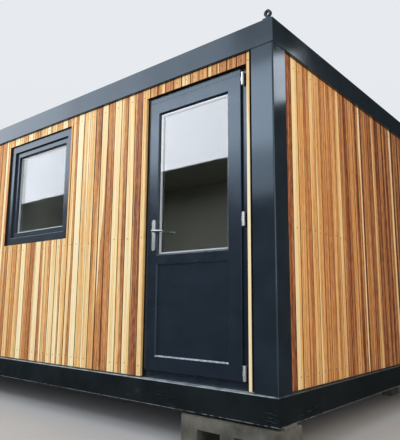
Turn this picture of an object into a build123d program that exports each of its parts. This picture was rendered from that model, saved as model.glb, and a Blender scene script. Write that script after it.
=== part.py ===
from build123d import *
from math import cos, radians, sin
import os

# Prefabricated container cabin: folded steel frame, vertical timber cladding, a half-glazed
# door and a fixed window in the front, standing on four concrete foundation blocks.
# Millimetres. X runs to the right along the front, Y into the depth, Z up from the ground.
# The origin is on the ground, in the middle of the plan.

# Steel frame
length = 6000
width = 3000
beam_sheet = 4
beam_bend = 6
beam_lip = 25
floor_beam_height = 165
floor_beam_flange = 100
roof_beam_height = 170
roof_beam_flange = 100
roof_beam_top_flange = 60
post_front_width = 165
post_side_width = 155
post_sheet = 5
post_bend = 9
post_setback = 6
post_wall_gap = 9

# Layers of a wall, measured inwards from the faces of the beams
board_setback = 20
board_thickness = 20
rail_thickness = 20
rail_height = 60
rail_foot_distance = 84
rail_middle_distance = 1017
rail_head_distance = 66
wall_thickness = 100
board_end_gap = 15
board_foot_gap = 10
board_head_gap = 4

# Floor and roof
joist_height = 120
joist_flange = 50
joist_sheet = 3
joist_count = 9
deck_thickness = 22
roof_panel_thickness = 80
roof_panel_gap = 4
roof_rib_pitch = 250
roof_rib_width = 70
roof_rib_height = 35
roof_rib_angle = 65
roof_sheet_thickness = 1.5

# Door, placed from the right-hand corner of the front
door_from_corner = 284
leaf_width = 867
leaf_height = 2000
leaf_foot = 58
leaf_inset = 45
leaf_flange = 12
leaf_body = 55
leaf_edge = 3
leaf_overlap = 18
leaf_rebate_gap = 8
stile_width = 113
head_rail_width = 100
foot_rail_width = 103
mid_rail_foot = 743
mid_rail_width = 78
bevel = 9
glass_recess = 15
pocket = 12
glass_unit = 24
pane = 4
door_frame_inset = 64
door_frame_depth = 81
door_frame_width = 65
door_stop_width = 14
door_stop_depth = 27
over_door_height = 80
door_side_gap = 9

# Door hinges
hinge_radius = 11
hinge_offset = 16
hinge_recess = 3
knuckle = 29
hinge_pin_radius = 4
hinge_play = 0.3
hinge_leg = 8
hinge_web = 6
hinge_foot_distance = 47
hinge_head_distance = 34

# Door handle and lock
handle_from_edge = 78
lever_height = 995
plate_width = 34
plate_height = 232
plate_above_lever = 84
plate_thickness = 8
lever_radius = 8
lever_reach = 118
lever_standoff = 25
lever_bend = 14
lever_droop = 5
spindle_size = 8
spindle_hole_radius = 9
lever_play = 0.3
lock_below_lever = 92
lock_radius = 8.5
lock_web = 10
lock_height = 33
lock_proud = 2
lock_play = 0.2

# Window, placed from the same corner; its head lines up with the head of the door frame
window_from_corner = 2147
window_width = 1035
window_height = 1020
window_gap = 5
window_inset = 38
window_frame_depth = 70
window_frame_width = 68
window_edge = 3
sash_inset = 58
sash_depth = 60
sash_width = 50
sash_lip = 25
sash_pocket = 10

# Side batten between the door and the right-hand post
batten_width = 24
batten_post_gap = 24

# Lifting eyes on the roof corners
eye_radius = 26
eye_hole_radius = 13
eye_thickness = 18
eye_shank_width = 22
eye_rise = 41
eye_foot = 52
eye_foot_thickness = 8
eye_edge_distance = 30
eye_end_distance = 50

# Foundation blocks and levelling pads
block_length = 757
block_width = 255
block_height = 200
block_side_inset = 5
block_front_inset = 17
fork_pocket_width = 183
fork_pocket_height = 117
fork_pocket_spacing = 287
block_edge = 8
pad_length = 300
pad_width = 146
pad_thickness = 20
pad_side_inset = 10

# Levels above the ground
frame_foot = block_height + pad_thickness
wall_foot = frame_foot + floor_beam_height
leaf_bottom = wall_foot + leaf_foot
leaf_top = leaf_bottom + leaf_height
door_head = leaf_top - leaf_overlap + door_frame_width
wall_head = door_head + over_door_height
frame_head = wall_head + roof_beam_height

# Depths behind the faces of the beams
rail_inset = board_setback + board_thickness
wall_inset = rail_inset + rail_thickness
room_inset = wall_inset + wall_thickness
post_return = wall_inset - post_wall_gap - post_setback
glass_inset = leaf_inset + glass_recess
body_inset = leaf_inset + leaf_flange
leaf_back = body_inset + leaf_body

# Edges of the door along the front
right_corner = length / 2
leaf_right = right_corner - door_from_corner
leaf_left = leaf_right - leaf_width
opening_right = leaf_right - leaf_overlap
opening_left = leaf_left + leaf_overlap
opening_bottom = leaf_bottom + leaf_overlap
opening_top = leaf_top - leaf_overlap
door_right = opening_right + door_frame_width
door_left = opening_left - door_frame_width
batten_right = right_corner - post_setback - post_front_width - batten_post_gap
batten_left = batten_right - batten_width

# Edges of the window along the front
window_right = right_corner - window_from_corner
window_left = window_right - window_width
window_top = door_head
window_bottom = window_top - window_height

# For each side of the building: the direction along it, the outward direction, the distance
# from the middle to the beam face, and the length of the side
sides = {
    "front": (Vector(1, 0, 0), Vector(0, -1, 0), width / 2, length),
    "rear": (Vector(-1, 0, 0), Vector(0, 1, 0), width / 2, length),
    "left": (Vector(0, -1, 0), Vector(-1, 0, 0), length / 2, width),
    "right": (Vector(0, 1, 0), Vector(1, 0, 0), length / 2, width),
}
up = Vector(0, 0, 1)
corners = [(-1, -1), (1, -1), (1, 1), (-1, 1)]


def upright(side, inset):
    """Plane parallel to one side: x along the side, y up from the ground, z outwards."""
    along, outward, half, reach = sides[side]
    return Plane(origin=outward * (half - inset), x_dir=along, z_dir=outward)


def plan(side, level):
    """Level plane of one side: x along the side, y inwards from the beam face."""
    along, outward, half, reach = sides[side]
    return Plane(origin=outward * half + up * level, x_dir=along, z_dir=up)


def cross_section(side, level):
    """Plane across the left end of one side: x inwards from the beam face, y up."""
    along, outward, half, reach = sides[side]
    return Plane(origin=outward * half - along * (reach / 2) + up * level, x_dir=outward * -1, z_dir=along)


def rectangle(left, right, low, high, mode=Mode.ADD):
    """Rectangle in the open sketch, given by its edges."""
    with Locations(((left + right) / 2, (low + high) / 2)):
        Rectangle(right - left, high - low, mode=mode)


def save(part, name):
    part.label = name
    export_step(part, f"parts/{name}.step")


os.makedirs("parts", exist_ok=True)


# Floor and roof rings: folded channels, open to the inside, mitred at the corners
def ring_beam(side, level, height, lower_flange, upper_flange):
    reach = sides[side][3]
    widest = max(lower_flange, upper_flange)
    with BuildPart() as beam:
        with BuildSketch(cross_section(side, level)) as fold:
            rectangle(0, beam_sheet, 0, height)
            rectangle(0, lower_flange, 0, beam_sheet)
            rectangle(0, upper_flange, height - beam_sheet, height)
            rectangle(lower_flange - beam_sheet, lower_flange, 0, beam_lip)
            rectangle(upper_flange - beam_sheet, upper_flange, height - beam_lip, height)
            fillet(fold.vertices().group_by(Axis.X)[0], radius=beam_bend)
        extrude(amount=reach)
        with BuildSketch(plan(side, level)):
            with BuildLine():
                Polyline(
                    (-reach / 2, 0),
                    (reach / 2, 0),
                    (reach / 2 - widest, widest),
                    (widest - reach / 2, widest),
                    close=True,
                )
            make_face()
        extrude(amount=height, mode=Mode.INTERSECT)
    return beam.part


for side in sides:
    floor_beam = ring_beam(side, frame_foot, floor_beam_height, floor_beam_flange, floor_beam_flange)
    save(floor_beam, f"floor_beam_{side}")
    roof_beam = ring_beam(side, wall_head, roof_beam_height, roof_beam_flange, roof_beam_top_flange)
    save(roof_beam, f"roof_beam_{side}")


# Corner posts: an outer angle of folded sheet with a return at both ends
def corner_post(end, face):
    post_x = end * (length / 2 - post_setback - post_front_width / 2)
    post_y = face * (width / 2 - post_setback - post_side_width / 2)
    hollow_x = post_x - end * post_return
    hollow_y = post_y - face * post_return
    with BuildPart() as post:
        with BuildSketch(Plane.XY.offset(wall_foot)) as section:
            with Locations((post_x, post_y)):
                Rectangle(post_front_width, post_side_width)
            outer = section.vertices().sort_by_distance((end * length / 2, face * width / 2))[0]
            fillet(outer, radius=post_bend)
            offset(amount=-post_sheet, mode=Mode.SUBTRACT)
            with Locations((hollow_x, hollow_y)):
                Rectangle(post_front_width, post_side_width, mode=Mode.SUBTRACT)
        extrude(amount=wall_head - wall_foot)
    return post.part


# Floor: cross joists between the long beams, and the deck on them
with BuildPart() as floor_joists:
    joist_pitch = (length - 2 * floor_beam_flange) / (joist_count + 1)
    joist_level = wall_foot - joist_height / 2
    joist_start = floor_beam_flange - width / 2
    with BuildSketch(Plane(origin=(0, joist_start, joist_level), x_dir=(1, 0, 0), z_dir=(0, -1, 0))):
        with GridLocations(joist_pitch, 0, joist_count, 1):
            Rectangle(joist_flange, joist_height)
            with Locations((joist_sheet, 0)):
                Rectangle(joist_flange, joist_height - 2 * joist_sheet, mode=Mode.SUBTRACT)
    extrude(amount=2 * joist_start)
save(floor_joists.part, "floor_joists")

with BuildPart() as floor_deck:
    with BuildSketch(Plane.XY.offset(wall_foot)):
        Rectangle(length - 2 * room_inset, width - 2 * room_inset)
    extrude(amount=deck_thickness)
save(floor_deck.part, "floor_deck")

# Roof: an insulated panel on the walls, and a ribbed sheet on the panel
roof_edge = roof_beam_flange + roof_panel_gap
with BuildPart() as roof_panel:
    with BuildSketch(Plane.XY.offset(wall_head)):
        Rectangle(length - 2 * roof_edge, width - 2 * roof_edge)
    extrude(amount=roof_panel_thickness)
save(roof_panel.part, "roof_panel")

with BuildPart() as roof_sheet:
    sheet_level = wall_head + roof_panel_thickness
    sheet_plane = Plane(origin=(0, roof_edge - width / 2, sheet_level), x_dir=(1, 0, 0), z_dir=(0, -1, 0))
    rib_count = int((length - 2 * roof_edge) // roof_rib_pitch)
    with BuildSketch(sheet_plane):
        rectangle(roof_edge - length / 2, length / 2 - roof_edge, 0, roof_sheet_thickness)
        with GridLocations(roof_rib_pitch, 0, rib_count, 1):
            Trapezoid(roof_rib_width, roof_rib_height, roof_rib_angle, align=(Align.CENTER, Align.MIN))
            Trapezoid(
                roof_rib_width - 3 * roof_sheet_thickness,
                roof_rib_height - roof_sheet_thickness,
                roof_rib_angle,
                align=(Align.CENTER, Align.MIN),
                mode=Mode.SUBTRACT,
            )
    extrude(amount=2 * roof_edge - width)
save(roof_sheet.part, "roof_sheet")


# Walls: insulated panels on the floor ring. The front is in two parts that meet at the left-hand
# edge of the door frame, one cut through for the window and one for the door.
def wall_panel(side, left, right, opening=None):
    with BuildPart() as panel:
        with BuildSketch(upright(side, wall_inset)):
            rectangle(left, right, wall_foot, wall_head)
            if opening:
                rectangle(*opening, mode=Mode.SUBTRACT)
        extrude(amount=-wall_thickness)
    return panel.part


wall_end = length / 2 - wall_inset
side_wall_end = width / 2 - room_inset
window_opening = (window_left, window_right, window_bottom, window_top)
door_opening = (door_left, door_right, wall_foot, door_head)
save(wall_panel("front", -wall_end, door_left, window_opening), "front_wall")
save(wall_panel("front", door_left, wall_end, door_opening), "front_wall_over_door")
save(wall_panel("rear", -wall_end, wall_end), "rear_wall")
save(wall_panel("left", -side_wall_end, side_wall_end), "left_wall")
save(wall_panel("right", -side_wall_end, side_wall_end), "right_wall")


# Cladding: vertical boards on level rails that are fixed to the wall panel
def cladding(side, left, right, low, rails, window=False):
    with BuildPart() as boards:
        with BuildSketch(upright(side, board_setback)):
            rectangle(left, right, low, board_head)
        extrude(amount=-board_thickness)
        with BuildSketch(upright(side, rail_inset)):
            for level in rails:
                rectangle(left, right, level - rail_height / 2, level + rail_height / 2)
        extrude(amount=-rail_thickness)
        if window:
            with BuildSketch(upright(side, board_setback)):
                rectangle(
                    window_left - window_gap,
                    window_right + window_gap,
                    window_bottom - window_gap,
                    window_top + window_gap,
                )
            extrude(amount=-(board_thickness + rail_thickness), mode=Mode.SUBTRACT)
    return boards.part


board_foot = wall_foot + board_foot_gap
board_head = wall_head - board_head_gap
long_side_end = length / 2 - post_setback - post_front_width - board_end_gap
short_side_end = width / 2 - post_setback - post_side_width - board_end_gap
door_board_edge = leaf_left - door_side_gap
rail_levels = (
    wall_foot + rail_foot_distance,
    wall_foot + rail_middle_distance,
    wall_head - rail_head_distance,
)
over_door_middle = (door_head + board_head) / 2
front_cladding = cladding("front", -long_side_end, door_board_edge, board_foot, rail_levels, window=True)
over_door_cladding = cladding("front", door_board_edge, batten_left, door_head, (over_door_middle,))
rear_cladding = cladding("rear", -long_side_end, long_side_end, board_foot, rail_levels)
left_cladding = cladding("left", -short_side_end, short_side_end, board_foot, rail_levels)
right_cladding = cladding("right", -short_side_end, short_side_end, board_foot, rail_levels)
save(front_cladding, "front_cladding")
save(over_door_cladding, "front_cladding_over_door")
save(rear_cladding, "rear_cladding")
save(left_cladding, "left_cladding")
save(right_cladding, "right_cladding")

with BuildPart() as door_side_batten:
    with BuildSketch(upright("front", board_setback)):
        rectangle(batten_left, batten_right, board_foot, board_head)
    extrude(amount=-(wall_inset - board_setback))
save(door_side_batten.part, "door_side_batten")

# Door frame: a ring in the wall, with a stop behind the leaf
with BuildPart() as door_frame:
    with BuildSketch(upright("front", door_frame_inset)):
        rectangle(door_left, door_right, wall_foot, door_head)
        rectangle(opening_left, opening_right, opening_bottom, opening_top, mode=Mode.SUBTRACT)
    extrude(amount=-door_frame_depth)
    with BuildSketch(upright("front", door_frame_inset + door_frame_depth - door_stop_depth)):
        rectangle(opening_left, opening_right, opening_bottom, opening_top)
        rectangle(
            opening_left + door_stop_width,
            opening_right - door_stop_width,
            opening_bottom + door_stop_width,
            opening_top - door_stop_width,
            mode=Mode.SUBTRACT,
        )
    extrude(amount=-door_stop_depth)
save(door_frame.part, "door_frame")

# Openings of the door leaf: glass above the mid rail, a panel below it
stile_left = leaf_left + stile_width
stile_right = leaf_right - stile_width
mid_rail_bottom = leaf_bottom + mid_rail_foot
opening_edges = {
    "glass": (stile_left, stile_right, mid_rail_bottom + mid_rail_width, leaf_top - head_rail_width),
    "panel": (stile_left, stile_right, leaf_bottom + foot_rail_width, mid_rail_bottom),
}
handle_x = leaf_left + handle_from_edge
handle_z = leaf_bottom + lever_height
lock_z = handle_z - lock_below_lever


def lock_outline(growth, mode=Mode.ADD):
    """Profile of the lock cylinder in the open sketch: a round head over a narrow web."""
    with Locations((handle_x, lock_z)):
        Circle(lock_radius + growth, mode=mode)
    web_low = lock_z - lock_height + lock_radius - growth
    rectangle(handle_x - lock_web / 2 - growth, handle_x + lock_web / 2 + growth, web_low, lock_z, mode=mode)


# Door leaf: an outer flange that laps over the frame and a body that fits inside it
with BuildPart() as door_leaf_frame:
    with BuildSketch(upright("front", leaf_inset)):
        rectangle(leaf_left, leaf_right, leaf_bottom, leaf_top)
        for left, right, low, high in opening_edges.values():
            rectangle(left, right, low, high, mode=Mode.SUBTRACT)
    extrude(amount=-leaf_flange)
    front_face = door_leaf_frame.faces().sort_by(Axis.Y)[0]
    chamfer([edge for wire in front_face.inner_wires() for edge in wire.edges()], length=bevel)
    front_face = door_leaf_frame.faces().sort_by(Axis.Y)[0]
    fillet(front_face.outer_wire().edges(), radius=leaf_edge)
    with BuildSketch(upright("front", body_inset)):
        rectangle(
            opening_left + leaf_rebate_gap,
            opening_right - leaf_rebate_gap,
            opening_bottom + leaf_rebate_gap,
            opening_top - leaf_rebate_gap,
        )
        for left, right, low, high in opening_edges.values():
            rectangle(left, right, low, high, mode=Mode.SUBTRACT)
    extrude(amount=-leaf_body)
    with BuildSketch(upright("front", glass_inset)):
        for left, right, low, high in opening_edges.values():
            rectangle(left - pocket, right + pocket, low - pocket, high + pocket)
    extrude(amount=-glass_unit, mode=Mode.SUBTRACT)
    with BuildSketch(upright("front", leaf_inset)):
        with Locations((handle_x, handle_z)):
            Circle(spindle_hole_radius)
        lock_outline(lock_play)
    extrude(amount=-(leaf_flange + leaf_body), mode=Mode.SUBTRACT)
save(door_leaf_frame.part, "door_leaf_frame")

# Double glazing and lower panel of the door, held in the grooves of the leaf
with BuildPart() as door_glass:
    left, right, low, high = opening_edges["glass"]
    for pane_inset in (glass_inset, glass_inset + glass_unit - pane):
        with BuildSketch(upright("front", pane_inset)):
            rectangle(left - pocket, right + pocket, low - pocket, high + pocket)
        extrude(amount=-pane)
save(door_glass.part, "door_glass")

with BuildPart() as door_panel:
    left, right, low, high = opening_edges["panel"]
    with BuildSketch(upright("front", glass_inset)):
        rectangle(left - pocket, right + pocket, low - pocket, high + pocket)
    extrude(amount=-glass_unit)
save(door_panel.part, "door_panel")

# Hinges: two outer knuckles on the door frame, the middle knuckle on the leaf
hinge_x = leaf_right + hinge_offset
hinge_inset = leaf_inset + hinge_recess
hinge_y = hinge_inset - width / 2
hinge_low = leaf_bottom + hinge_foot_distance
hinge_high = leaf_top - hinge_head_distance
hinge_levels = (hinge_low, (hinge_low + hinge_high) / 2, hinge_high)
hinge_leg_length = door_frame_inset - hinge_inset
web_depth = leaf_flange / 2 - hinge_recess
knuckle_gap = hinge_play / 2

with BuildPart() as hinge_frame_halves:
    for level in hinge_levels:
        for upwards in (-1, 1):
            near = level + upwards * (knuckle / 2 + knuckle_gap)
            far = level + upwards * 1.5 * knuckle
            with BuildSketch(Plane(origin=(hinge_x, hinge_y, min(near, far)))):
                Circle(hinge_radius)
                with Locations((0, hinge_leg_length / 2)):
                    Rectangle(hinge_leg, hinge_leg_length)
            extrude(amount=abs(far - near))
        with BuildSketch(Plane(origin=(hinge_x, hinge_y, level - knuckle))):
            Circle(hinge_pin_radius)
        extrude(amount=2 * knuckle)
save(hinge_frame_halves.part, "hinge_frame_halves")

with BuildPart() as hinge_leaf_halves:
    for level in hinge_levels:
        middle_foot = level - knuckle / 2 + knuckle_gap
        with BuildSketch(Plane(origin=(hinge_x, hinge_y, middle_foot))):
            Circle(hinge_radius)
            with Locations((-hinge_offset / 2, web_depth)):
                Rectangle(hinge_offset, hinge_web)
            Circle(hinge_pin_radius + hinge_play, mode=Mode.SUBTRACT)
        extrude(amount=knuckle - 2 * knuckle_gap)
save(hinge_leaf_halves.part, "hinge_leaf_halves")

# Handle plates on both faces of the leaf, with a collar hole for the lever and one for the lock
plate_top = handle_z + plate_above_lever
plate_middle = plate_top - plate_height / 2
with BuildPart() as handle_plates:
    for plate_inset in (leaf_inset - plate_thickness, leaf_back):
        with BuildSketch(upright("front", plate_inset)):
            with Locations((handle_x, plate_middle)):
                SlotOverall(plate_height, plate_width, rotation=90)
            with Locations((handle_x, handle_z)):
                Circle(lever_radius + lever_play, mode=Mode.SUBTRACT)
            lock_outline(lock_play, mode=Mode.SUBTRACT)
        extrude(amount=-plate_thickness)
save(handle_plates.part, "handle_plates")

with BuildPart() as lock_cylinder:
    with BuildSketch(upright("front", leaf_inset - plate_thickness - lock_proud)):
        lock_outline(0)
    extrude(amount=-(leaf_back - leaf_inset + 2 * plate_thickness + 2 * lock_proud))
save(lock_cylinder.part, "lock_cylinder")

# Levers: one bent round bar on each face, drooping a little, joined by the square spindle
lever_depths = (
    (leaf_inset - plate_thickness, -1),
    (leaf_back + plate_thickness, 1),
)
lever_end_x = handle_x + lever_reach * cos(radians(lever_droop))
lever_end_z = handle_z - lever_reach * sin(radians(lever_droop))
with BuildPart() as door_levers:
    for face_inset, direction in lever_depths:
        face_y = face_inset - width / 2
        arm_y = face_y + direction * lever_standoff
        neck_y = face_y - direction * plate_thickness
        with BuildLine() as bar:
            FilletPolyline(
                (handle_x, neck_y, handle_z),
                (handle_x, arm_y, handle_z),
                (lever_end_x, arm_y, lever_end_z),
                radius=lever_bend,
            )
        with BuildSketch(Plane(origin=(handle_x, neck_y, handle_z), z_dir=(0, direction, 0))):
            Circle(lever_radius)
        sweep(path=bar.wires()[0])
    with BuildSketch(upright("front", leaf_inset)):
        with Locations((handle_x, handle_z)):
            Rectangle(spindle_size, spindle_size)
    extrude(amount=-(leaf_back - leaf_inset))
save(door_levers.part, "door_levers")

# Window: outer frame in the wall, fixed sash inside it, double glazing in a groove of the sash
with BuildPart() as window_frame:
    with BuildSketch(upright("front", window_inset)):
        rectangle(window_left, window_right, window_bottom, window_top)
        offset(amount=-window_frame_width, mode=Mode.SUBTRACT)
    extrude(amount=-window_frame_depth)
    fillet(window_frame.faces().sort_by(Axis.Y)[0].edges(), radius=window_edge)
save(window_frame.part, "window_frame")

sash_edges = (
    window_left + window_frame_width,
    window_right - window_frame_width,
    window_bottom + window_frame_width,
    window_top - window_frame_width,
)
with BuildPart() as window_sash:
    with BuildSketch(upright("front", sash_inset)):
        rectangle(*sash_edges)
        offset(amount=-sash_width, mode=Mode.SUBTRACT)
    extrude(amount=-sash_depth)
    sash_face = window_sash.faces().sort_by(Axis.Y)[0]
    fillet([edge for wire in sash_face.inner_wires() for edge in wire.edges()], radius=window_edge)
    with BuildSketch(upright("front", sash_inset + sash_lip)):
        rectangle(*sash_edges)
        offset(amount=sash_pocket - sash_width, mode=Mode.INTERSECT)
    extrude(amount=-glass_unit, mode=Mode.SUBTRACT)
save(window_sash.part, "window_sash")

with BuildPart() as window_glass:
    for pane_inset in (sash_inset + sash_lip, sash_inset + sash_lip + glass_unit - pane):
        with BuildSketch(upright("front", pane_inset)):
            rectangle(*sash_edges)
            offset(amount=sash_pocket - sash_width, mode=Mode.INTERSECT)
        extrude(amount=-pane)
save(window_glass.part, "window_glass")

# Lifting eyes: a ring on a short shank and a foot plate at each corner of the roof ring
def lifting_eye(end, face):
    eye_x = end * (length / 2 - eye_end_distance)
    eye_y = face * (width / 2 - eye_edge_distance)
    foot_top = frame_head + eye_foot_thickness
    eye_z = foot_top + eye_rise
    with BuildPart() as eye:
        with BuildSketch(Plane.XY.offset(frame_head)):
            with Locations((eye_x, eye_y)):
                Rectangle(eye_foot, eye_foot)
        extrude(amount=eye_foot_thickness)
        with BuildSketch(Plane(origin=(eye_x, eye_y, eye_z), x_dir=(1, 0, 0), z_dir=(0, -1, 0))):
            Circle(eye_radius)
            rectangle(-eye_shank_width / 2, eye_shank_width / 2, -eye_rise, 0)
            Circle(eye_hole_radius, mode=Mode.SUBTRACT)
        extrude(amount=eye_thickness / 2, both=True)
    return eye.part


def corner_name(end, face):
    return f"{'front' if face < 0 else 'rear'}_{'left' if end < 0 else 'right'}"


for end, face in corners:
    save(corner_post(end, face), f"corner_post_{corner_name(end, face)}")
    save(lifting_eye(end, face), f"lifting_eye_{corner_name(end, face)}")

# Foundation blocks, each with two pockets for lifting forks, and the pads on them
block_x = length / 2 - block_side_inset - block_length / 2
block_y = width / 2 - block_front_inset - block_width / 2
with BuildPart() as foundation_blocks:
    with BuildSketch(Plane.XY):
        with GridLocations(2 * block_x, 2 * block_y, 2, 2):
            Rectangle(block_length, block_width)
    extrude(amount=block_height)
    chamfer(foundation_blocks.edges().filter_by(Axis.Z), length=block_edge)
    chamfer(foundation_blocks.edges().group_by(Axis.Z)[-1], length=block_edge)
    with BuildSketch(upright("front", 0)):
        with Locations((0, fork_pocket_height / 2)):
            with GridLocations(2 * block_x, 0, 2, 1):
                with GridLocations(fork_pocket_spacing, 0, 2, 1):
                    Rectangle(fork_pocket_width, fork_pocket_height)
    extrude(amount=-width, mode=Mode.SUBTRACT)
save(foundation_blocks.part, "foundation_blocks")

with BuildPart() as levelling_pads:
    pad_x = length / 2 - pad_side_inset - pad_length / 2
    with BuildSketch(Plane.XY.offset(block_height)):
        with GridLocations(2 * pad_x, 2 * block_y, 2, 2):
            Rectangle(pad_length, pad_width)
    extrude(amount=pad_thickness)
save(levelling_pads.part, "levelling_pads")
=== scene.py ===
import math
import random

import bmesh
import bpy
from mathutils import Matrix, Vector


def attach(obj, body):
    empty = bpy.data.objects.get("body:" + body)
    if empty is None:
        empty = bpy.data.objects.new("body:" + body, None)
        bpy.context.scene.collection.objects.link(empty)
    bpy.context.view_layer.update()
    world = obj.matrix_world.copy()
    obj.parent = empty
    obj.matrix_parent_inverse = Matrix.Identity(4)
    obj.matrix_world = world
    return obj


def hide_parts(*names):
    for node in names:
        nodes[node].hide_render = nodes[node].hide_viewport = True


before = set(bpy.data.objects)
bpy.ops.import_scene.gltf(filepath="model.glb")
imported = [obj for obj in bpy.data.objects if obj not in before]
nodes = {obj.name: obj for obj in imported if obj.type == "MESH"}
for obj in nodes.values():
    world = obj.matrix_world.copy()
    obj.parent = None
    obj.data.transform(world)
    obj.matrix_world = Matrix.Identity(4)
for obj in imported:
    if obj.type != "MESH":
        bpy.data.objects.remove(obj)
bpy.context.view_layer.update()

# %% [markdown]
# # A garden cabin in a folded steel frame
#
# The cabin is a prefabricated container unit: a ring of folded steel beams below and above, four
# corner posts, larch boards in the bays, a half-glazed door and a fixed window. The solids come
# from the CAD model and stay where they are. This lesson gives them their finishes, and swaps the
# plain cladding slabs for separate boards. One could also model everything again in Blender, but
# then the moving door would no longer match its hinges, so only what the solids leave out is made.

# %% [markdown]
# ## The camera
#
# A real camera stood at the front right corner, a little below eye height, and looked slightly
# up. Three things fix such a view: where it stands, which way it faces, and its focal length. One
# could push the camera about by hand until it looks right. Here the three directions of the
# picture are written as the columns of a rotation, which keeps a small roll of the camera exact.

# %%
# Camera at the front right corner
right_in_picture = Vector((0.7674, 0.64113, 0.00721))
up_in_picture = Vector((0.09994, -0.13072, 0.98637))
towards_viewer = Vector((0.63333, -0.75622, -0.16438))
camera = bpy.data.objects.new("camera", bpy.data.cameras.new("camera"))
bpy.context.scene.collection.objects.link(camera)
turn = Matrix((right_in_picture, up_in_picture, towards_viewer)).transposed().to_4x4()
stand = (4.538, -4.044, 0.915)
camera.matrix_world = Matrix.Translation(stand) @ turn
camera.data.lens = 40.68  # mm, on the usual sensor 36 mm wide
camera.data.clip_end = 200  # the floor reaches far behind the cabin
bpy.context.scene.camera = camera
print("camera height", round(camera.location.z, 3), "m, lens", round(camera.data.lens, 2), "mm")

# %% [markdown]
# ## Colours and nodes
#
# Paint charts give colours as sRGB hex values, and a shader works in linear light. Converting by
# hand goes wrong easily, so one function does it. A second one adds any node with its settings and
# links, which keeps each finish below as short as its recipe.


# %%
# Hex colour to linear light, and one function that adds a node
def linear(hex_colour, alpha=1.0):
    parts = [int(hex_colour[i : i + 2], 16) / 255 for i in (1, 3, 5)]
    return (*[c / 12.92 if c <= 0.04045 else ((c + 0.055) / 1.055) ** 2.4 for c in parts], alpha)


def add(material, kind, inputs=None, stops=None, **settings):
    node = material.node_tree.nodes.new("ShaderNode" + kind)
    for name, value in settings.items():
        setattr(node, name, value)
    for socket, value in (inputs or {}).items():
        if isinstance(value, bpy.types.NodeSocket):
            material.node_tree.links.new(value, node.inputs[socket])
        else:
            node.inputs[socket].default_value = value
    if stops:
        row = node.color_ramp.elements
        while len(row) < len(stops):
            row.new(1.0)
        for element, (position, colour) in zip(row, stops):
            element.position, element.color = position, linear(colour)
    return node


def finish_named(name):
    material = bpy.data.materials.new(name)
    material.use_nodes = True
    material.node_tree.nodes.clear()
    return material


def wear(material, *names):
    for name in names:
        data = nodes[name].data
        data.materials.clear()
        data.materials.append(material)


print("anthracite in linear light", [round(c, 4) for c in linear("#2b333a")[:3]])

# %% [markdown]
# ## Two-pack paint on folded steel
#
# Posts and beams are 4 to 5 mm sheet, folded and sprayed anthracite. Sprayed paint has orange
# peel, soft waves 3 to 8 mm wide, so it mirrors the sky as a blurred gradient. Two ways lead
# there: a glossy coat over a matt base, or one surface with middling roughness. The second is
# right for a single-layer site paint. The ring of floor beams is painted darker: painted shade.

# %%
# Anthracite site paint, and painted shade on the floor ring
paint = finish_named("anthracite_two_pack_paint")
place = add(paint, "TexCoord").outputs["Object"]
film = add(paint, "TexNoise", {"Vector": place, "Scale": 5.0, "Detail": 4.0})  # 200 mm patches
tint = add(paint, "ValToRGB", {"Fac": film.outputs["Fac"]},
           stops=[(0.35, "#222b32"), (0.65, "#27313a")])
# The darker colour of the floor ring is painted shade
ring_shade = add(paint, "ValToRGB", {"Fac": film.outputs["Fac"]},
              stops=[(0.35, "#1a1f21"), (0.65, "#212729")])
ring_foot, ring_head = 0.220, 0.3862
height = add(paint, "SeparateXYZ", {"Vector": place}).outputs["Z"]
on_ring = add(paint, "MapRange", {"Value": height, "From Min": ring_head,
                                  "From Max": ring_head - 0.001})
sprayed = add(paint, "Mix", {0: on_ring.outputs["Result"], 6: tint.outputs["Color"],
                             7: ring_shade.outputs["Color"]}, data_type="RGBA")
print("chassis paint from", ring_foot, "to", ring_head, "m")

# %% [markdown]
# Chains and forks have rubbed the lower edge of the ring each time the cabin was moved. Scratches
# could be modelled or drawn on a picture, but they have no depth to speak of, and a picture would
# fit one beam only. A noise drawn out along the beams gives strokes 3 mm high and up to 100 mm
# long, and a second noise keeps them to a few places.

# %%
# Scratches on the floor ring, and its worn lower edge
long_way = add(paint, "Mapping", {"Vector": place, "Scale": (10.0, 10.0, 330.0)})
strokes = add(paint, "TexNoise", {"Vector": long_way.outputs["Vector"], "Scale": 1.0,
                                  "Detail": 3.0})
rubbed = add(paint, "MapRange", {"Value": strokes.outputs["Fac"], "From Min": 0.62,
                                 "From Max": 0.80})
rubbed_where = add(paint, "TexNoise", {"Vector": place, "Scale": 3.5, "Detail": 1.0})  # 290 mm
here = add(paint, "MapRange", {"Value": rubbed_where.outputs["Fac"], "From Min": 0.50,
                               "From Max": 0.75, "To Max": 0.6})
low_edge = add(paint, "MapRange", {"Value": height, "From Min": 0.40, "From Max": 0.30})
clustered = add(paint, "Math", {0: rubbed.outputs["Result"], 1: here.outputs["Result"]},
                operation="MULTIPLY")
scratch = add(paint, "Math", {0: clustered.outputs["Value"], 1: low_edge.outputs["Result"]},
              operation="MULTIPLY")
# The outermost 5 mm of the lower edge is worn almost throughout, in bites of 33 mm
edge = add(paint, "MapRange", {"Value": height, "From Min": ring_foot + 0.0065,
                               "From Max": ring_foot + 0.0025})
gnawed = add(paint, "TexNoise", {"Vector": place, "Scale": 30.0, "Detail": 5.0})
gnaw = add(paint, "MapRange", {"Value": gnawed.outputs["Fac"], "From Min": 0.42,
                               "From Max": 0.55})
worn_edge = add(paint, "Math", {0: edge.outputs["Result"], 1: gnaw.outputs["Result"]},
                operation="MULTIPLY")
worn = add(paint, "Math", {0: scratch.outputs["Value"], 1: worn_edge.outputs["Value"]},
           operation="MAXIMUM")
scratched = add(paint, "Mix", {0: worn.outputs["Value"], 6: sprayed.outputs[2],
                               7: linear("#9fa9b0")}, data_type="RGBA")
print("scratches thin out above", low_edge.inputs["From Max"].default_value, "m")
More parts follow.
